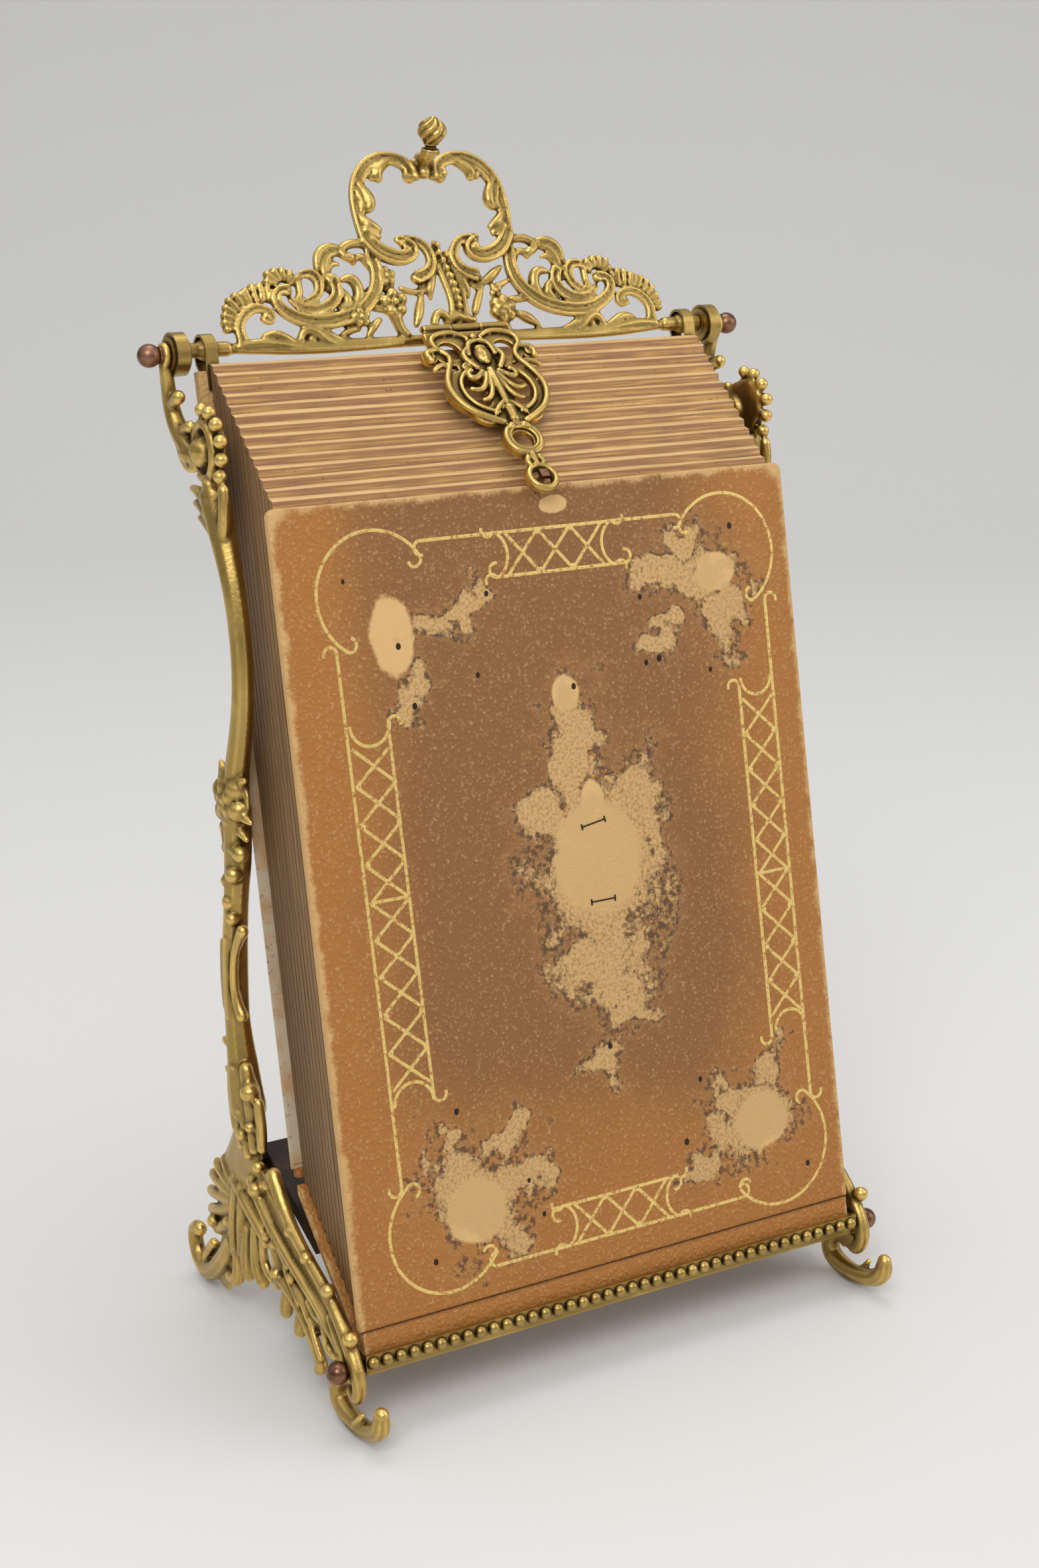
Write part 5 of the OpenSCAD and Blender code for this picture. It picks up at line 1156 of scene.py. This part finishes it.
def tooling_lines():
    """Runs of points in millimetres on the cover for its pressed gilt lines, and the middles of its dots."""
    runs = []
    dots = []
    for middle, radius, start, end in TOOLED_CORNERS:
        run = arc(middle, radius, start, end, 40)
        runs.append(hook(run[0], start - 90, -1)[::-1] + run + hook(run[-1], end + 90, 1))
    runs.append([(58, 287.5), (168, 287.5)])
    runs.append([(58, 19.5), (170, 19.5)])
    runs.append([(20.5, 251), (22.5, 57)])
    runs.append([(206.5, 251), (206.5, 54)])
    runs.append([(88, 271.5), (144, 271.5)])
    runs.append([(86, 35), (139, 35)])
    runs.append([(37.5, 224), (39.5, 88)])
    runs.append([(190.5, 219), (190.5, 80)])
    for low, high, side in ((271.5, 287.5, 1), (19.5, 35, -1)):
        middle = (low + high) / 2
        for across in (100, 114, 128):
            runs.append([(across - 7, low), (across + 7, high)])
            runs.append([(across - 7, high), (across + 7, low)])
            dots.append((across, middle))
        for across in (107, 121):
            dots.append((across, low + 0.9))
            dots.append((across, high - 0.9))
        runs.append(arc((84, middle), 9.6, 58, -58, 12))
        runs.append(arc((144, middle), 9.6, 122, 238, 12))
        runs.append(arc((86, high + 1.5), 2.6, -20, -200, 8))
        runs.append(arc((86, low - 1.5), 2.6, 20, 200, 8))
        runs.append(arc((142, high + 1.5), 2.6, 200, 380, 8))
        runs.append(arc((142, low - 1.5), 2.6, 160, -20, 8))
    left = [210, 196.5, 182, 168, 154.5, 141, 127.5, 113, 99.5]
    right = [207, 193, 179, 165, 151.5, 138, 123.5, 109, 95]
    for ups, near, far in ((left, 22.2, 38.2), (right, 191.5, 205.7)):
        for up in ups:
            lean = (210 - up) * 0.011 if near < 100 else 0.0
            runs.append([(near + lean, up - 6.9), (far + lean, up + 6.9)])
            runs.append([(near + lean, up + 6.9), (far + lean, up - 6.9)])
            dots.append(((near + far) / 2 + lean, up))
            if up != ups[0]:
                dots.append((near + lean + 0.9, up + 6.9))
                dots.append((far + lean - 0.9, up + 6.9))
        middle = (near + far) / 2
        reach = (far - near) / 2
        top = ups[0] + 15
        foot = ups[-1] - 13
        runs.append(arc((middle, top), reach, 180, 360, 16))
        runs.append(arc((middle + 1.2, foot), reach, 0, 180, 16))
    runs.append([(22.6, 161.5), (38.4, 161.5)])
    runs.append([(191, 145), (206, 145)])
    ends = [((20.5, 251), 90, 1), ((22.5, 57), -90, -1), ((206.5, 251), 90, -1), ((206.5, 54), -90, 1)]
    ends += [((37.5, 224), 90, -1), ((39.5, 88), -90, 1), ((190.5, 219), 90, 1), ((190.5, 80), -90, -1)]
    ends += [((58, 287.5), 180, 1), ((168, 287.5), 0, -1), ((58, 19.5), 180, -1), ((170, 19.5), 0, 1)]
    ends += [((88, 271.5), 180, -1), ((144, 271.5), 0, 1), ((86, 35), 180, 1), ((139, 35), 0, -1)]
    for end, direction, side in ends:
        runs.append(hook(end, direction, side))
    return runs, dots


class ALBUM_OT_stage(bpy.types.Operator):
    """Sets the camera, the floor with its backdrop, and the lamps."""

    bl_idname = "album.stage"
    bl_label = "Stage"

    def execute(self, context):
        settings = context.scene.album_stage
        scene = context.scene
        scene.view_settings.view_transform = "Standard"
        lens = bpy.data.cameras.new("camera")
        lens.lens = settings.lens
        lens.sensor_width = 36.0
        camera = bpy.data.objects.new("camera", lens)
        camera.location = settings.camera_place
        camera.rotation_euler = (math.pi / 2 - settings.camera_dip, 0.0, -settings.camera_turn)
        scene.collection.objects.link(camera)
        scene.camera = camera

        material, _, shader = new_material("floor")
        shader.inputs["Base Color"].default_value = (*settings.floor_colour, 1.0)
        shader.inputs["Roughness"].default_value = 0.75
        shader.inputs["Specular IOR Level"].default_value = 0.25
        sheet = bmesh.new()
        strip = [sheet.verts.new((0.0, y, 0.0)) for y in (-3.0, 1.6)]
        sheet.edges.new(strip)
        swept = bmesh.ops.spin(
            sheet,
            geom=[strip[1]],
            cent=(0, 1.6, 1.2),
            axis=(1, 0, 0),
            dvec=(0, 0, 0),
            angle=math.pi / 2,
            steps=16,
        )
        last = [v for v in swept["geom_last"] if isinstance(v, bmesh.types.BMVert)]
        risen = bmesh.ops.extrude_vert_indiv(sheet, verts=last)["verts"]
        bmesh.ops.translate(sheet, verts=risen, vec=(0, 0, 3.0))
        bmesh.ops.translate(sheet, verts=sheet.verts, vec=(-4.0, 0, 0))
        wide = bmesh.ops.extrude_edge_only(sheet, edges=sheet.edges[:])["geom"]
        moved = [v for v in wide if isinstance(v, bmesh.types.BMVert)]
        bmesh.ops.translate(sheet, verts=moved, vec=(8.0, 0, 0))
        turn = Matrix.Rotation(-settings.camera_turn, 4, "Z")
        bmesh.ops.transform(sheet, matrix=turn, verts=sheet.verts)
        bmesh.ops.recalc_face_normals(sheet, faces=sheet.faces)
        mesh = mesh_of(sheet, "floor")
        mesh.materials.append(material)
        mesh.shade_smooth()
        floor = bpy.data.objects.new("floor", mesh)
        scene.collection.objects.link(floor)

        for name, place, size, power in (
            ("key", (-1.1, -1.3, 1.7), 1.1, settings.key_power),
            ("fill", (1.5, -1.0, 1.0), 1.4, settings.key_power * 0.4),
            ("top", (0.1, 0.3, 2.0), 1.2, settings.key_power * 0.45),
        ):
            lamp = bpy.data.lights.new(name, "AREA")
            lamp.shape = "DISK"
            lamp.size = size
            lamp.energy = power
            holder = bpy.data.objects.new(name, lamp)
            holder.location = place
            aim = Vector((0.0, 0.0, 0.2)) - Vector(place)
            holder.rotation_euler = aim.to_track_quat("-Z", "Y").to_euler()
            scene.collection.objects.link(holder)

        world = scene.world or bpy.data.worlds.new("studio")
        scene.world = world
        world.use_nodes = True
        tree = world.node_tree
        background = tree.nodes["Background"]
        direction = node(tree, "ShaderNodeTexCoord")
        rise = node(tree, "ShaderNodeSeparateXYZ", {"Vector": direction.outputs["Generated"]})
        light = ramp(tree, rise.outputs[2], 0.0, 0.75)
        tree.links.new(blend(tree, light, (0.30, 0.29, 0.28), (1.0, 1.0, 1.0)), background.inputs["Color"])
        background.inputs["Strength"].default_value = settings.world_light
        return {"FINISHED"}


class ALBUM_OT_castings(bpy.types.Operator):
    """Casts the side frames, the crest, the finial and the clasp, and gives all the brass its finish."""

    bl_idname = "album.castings"
    bl_label = "Brass castings"

    def execute(self, context):
        settings = context.scene.album_castings
        worked = brass_material(settings, "cast_brass", 1.0, 0.4)
        turned = brass_material(settings, "turned_brass", 0.0, 0.5, 0.6)
        left = cast(frame_shape(), settings.voxel * 1.2)
        for vertex in left.vertices:
            vertex.co.z = max(vertex.co.z, 0.0)
        right = left.copy()
        right.transform(Matrix.Diagonal((-1.0, 1.0, 1.0, 1.0)))
        right.flip_normals()
        castings = (
            ("side_frame_left", left, "stand"),
            ("side_frame_right", right, "stand"),
            ("crest", cast(crest_shape(), settings.voxel * 0.95), "stand"),
            ("flame_finial", cast(finial_shape(), settings.voxel * 0.5), "stand"),
            ("clasp", cast(clasp_shape(), settings.voxel * 0.6, 1), "clasp"),
        )
        for name, mesh, body in castings:
            add_piece(name + "_cast", mesh, worked, body, (name,), 180.0)
        dress(turned, "disc_nut_left", "disc_nut_right", "front_rail", "rear_rail")
        dress(turned, "hanger_left", "hanger_right", "hinge_plate", "hinge_pin")
        copper = copper_material()
        dress(copper, "top_screw_left", "top_screw_right", "rail_screw_left", "rail_screw_right")
        dress(copper, "clasp_stud")
        return {"FINISHED"}


class ALBUM_OT_cover(bpy.types.Operator):
    """Makes the front cover with its worn leather, the spine's leather and the gilt tooling."""

    bl_idname = "album.cover"
    bl_label = "Front cover"

    def execute(self, context):
        settings = context.scene.album_book
        leather = leather_material(settings, "cover_leather", True)
        shape = board(COVER_WIDTH, FOLD, COVER_HEIGHT, 0.0, COVER_THICKNESS, 3.2 * MM, 0.8 * MM)
        bmesh.ops.transform(shape, matrix=SLOPE, verts=shape.verts)
        add_piece("front_board", shape, leather, "front_cover", ("front_cover",))
        dress(leather, "spine_strip")

        runs, dots = tooling_lines()
        placed = [[((across - COVER_MIDDLE_MM) * MM, up * MM) for across, up in run] for run in runs]
        lines = lines_mesh(placed, settings.line, 0.22 * MM)
        tooling = bmesh.new()
        tooling.from_mesh(lines)
        for across, up in dots:
            add_ball(tooling, on_cover(across, up), 1.15 * MM, (1.0, 0.12, 1.0), 1)
        bmesh.ops.transform(tooling, matrix=SLOPE, verts=tooling.verts)
        add_piece("gilt_tooling", tooling, gilt_material(settings), "front_cover")

        # Painted shade: the nail holes are dark discs on the leather, standing for the holes' depth.
        dark, _, shader = new_material("holes")
        shader.inputs["Base Color"].default_value = (0.02, 0.011, 0.006, 1.0)
        shader.inputs["Roughness"].default_value = 0.9
        holes = bmesh.new()
        for across, up in NAIL_HOLES:
            size = 0.95 + 0.45 * noise.noise(Vector((across, up, 0.5)))
            add_ball(holes, on_cover(across, up), size * MM, (1.0, 0.1, 1.25), 2)
        for across, up, tilt in STAPLES:
            place = Matrix.Translation(on_cover(across, up)) @ Matrix.Rotation(-tilt, 4, "Y")
            for offset, wide, high in STAPLE_BARS:
                size = Matrix.Diagonal((wide * MM, 0.2 * MM, high * MM, 1.0))
                bar = Matrix.Translation((offset * MM, 0.0, 0.0)) @ size
                bmesh.ops.create_cube(holes, size=1.0, matrix=place @ bar)
        bmesh.ops.transform(holes, matrix=SLOPE, verts=holes.verts)
        add_piece("nail_holes", holes, dark, "front_cover")
        return {"FINISHED"}


class ALBUM_OT_leaves(bpy.types.Operator):
    """Makes the stack of leaves with slanted gilt edges."""

    bl_idname = "album.leaves"
    bl_label = "Leaves"

    def execute(self, context):
        settings = context.scene.album_book
        stack = bmesh.new()
        for count in range(LEAVES):
            leaf = bmesh.new()
            low = (count + 1) * LEAF_RISE
            front = COVER_THICKNESS + count * LEAF_PITCH + 0.18 * MM
            middle = Vector((0.0, front + LEAF_THICKNESS / 2, low + COVER_HEIGHT / 2))
            size = Matrix.Diagonal((LEAF_WIDTH, LEAF_THICKNESS, COVER_HEIGHT, 1.0))
            bmesh.ops.create_cube(leaf, size=1.0, matrix=Matrix.Translation(middle) @ size)
            slanted = [v for v in leaf.verts if v.co.z > middle.z and v.co.y < middle.y]
            bmesh.ops.translate(leaf, verts=slanted, vec=(0.0, 0.0, -LEAF_BEVEL))
            bmesh.ops.bevel(
                leaf,
                geom=leaf.edges[:],
                offset=0.3 * MM,
                segments=2,
                profile=0.5,
                affect="EDGES",
                material=-1,
            )
            long = [e for e in leaf.edges if abs(e.verts[0].co.x - e.verts[1].co.x) > LEAF_WIDTH / 2]
            bmesh.ops.subdivide_edges(leaf, edges=long, cuts=36, use_grid_fill=True)
            for vertex in leaf.verts:
                if vertex.co.z > middle.z:
                    wave = noise.noise(Vector((vertex.co.x * 14, count * 7.1, 0.3)))
                    small = noise.noise(Vector((vertex.co.x * 70, count * 3.3, 2.3)))
                    vertex.co.z += (0.5 * wave + 0.16 * small - 0.1) * MM
            mesh = mesh_of(leaf, "leaf")
            stack.from_mesh(mesh)
            bpy.data.meshes.remove(mesh)
        bmesh.ops.transform(stack, matrix=SLOPE, verts=stack.verts)
        add_piece("leaves", stack, leaf_material(settings), "stand", ("page_block",), 50.0)
        return {"FINISHED"}


class ALBUM_OT_back(bpy.types.Operator):
    """Gives the rear cover, its lining, the loose card and the rest board their finish."""

    bl_idname = "album.back"
    bl_label = "Rear cover and lining"

    def execute(self, context):
        settings = context.scene.album_book
        leather = leather_material(settings, "rear_leather", False)
        dress(leather, "rear_cover")
        paper = paper_material(settings)
        dress(paper, "rear_lining", "loose_card")
        dress(board_material(), "rest_board")
        return {"FINISHED"}


class ALBUM_PT_panel(bpy.types.Panel):
    """Lists the steps that dress the album."""

    bl_idname = "ALBUM_PT_panel"
    bl_label = "Photo album"
    bl_space_type = "VIEW_3D"
    bl_region_type = "UI"
    bl_category = "Album"

    def draw(self, context):
        """Shows one button for each step."""
        for kind in OPERATORS:
            self.layout.operator(kind.bl_idname)


OPERATORS = (ALBUM_OT_stage, ALBUM_OT_castings, ALBUM_OT_cover, ALBUM_OT_leaves, ALBUM_OT_back)
SETTINGS = {"album_stage": StageSettings, "album_castings": CastingSettings, "album_book": AlbumSettings}


def register():
    """Registers the settings, the operators and the panel."""
    for kind in (*SETTINGS.values(), *OPERATORS, ALBUM_PT_panel):
        bpy.utils.register_class(kind)
    for name, kind in SETTINGS.items():
        setattr(bpy.types.Scene, name, PointerProperty(type=kind))


def unregister():
    """Takes them away again."""
    for name in SETTINGS:
        delattr(bpy.types.Scene, name)
    for kind in (ALBUM_PT_panel, *OPERATORS, *SETTINGS.values()):
        bpy.utils.unregister_class(kind)


def main():
    """Registers the add-on, makes the shared node groups and dresses the part."""
    register()
    make_place_group()
    make_spot_group()
    make_grain_group()
    make_hollow_group()
    bpy.ops.album.stage()
    bpy.ops.album.castings()
    bpy.ops.album.cover()
    bpy.ops.album.leaves()
    bpy.ops.album.back()


if __name__ == "__main__":
    main()
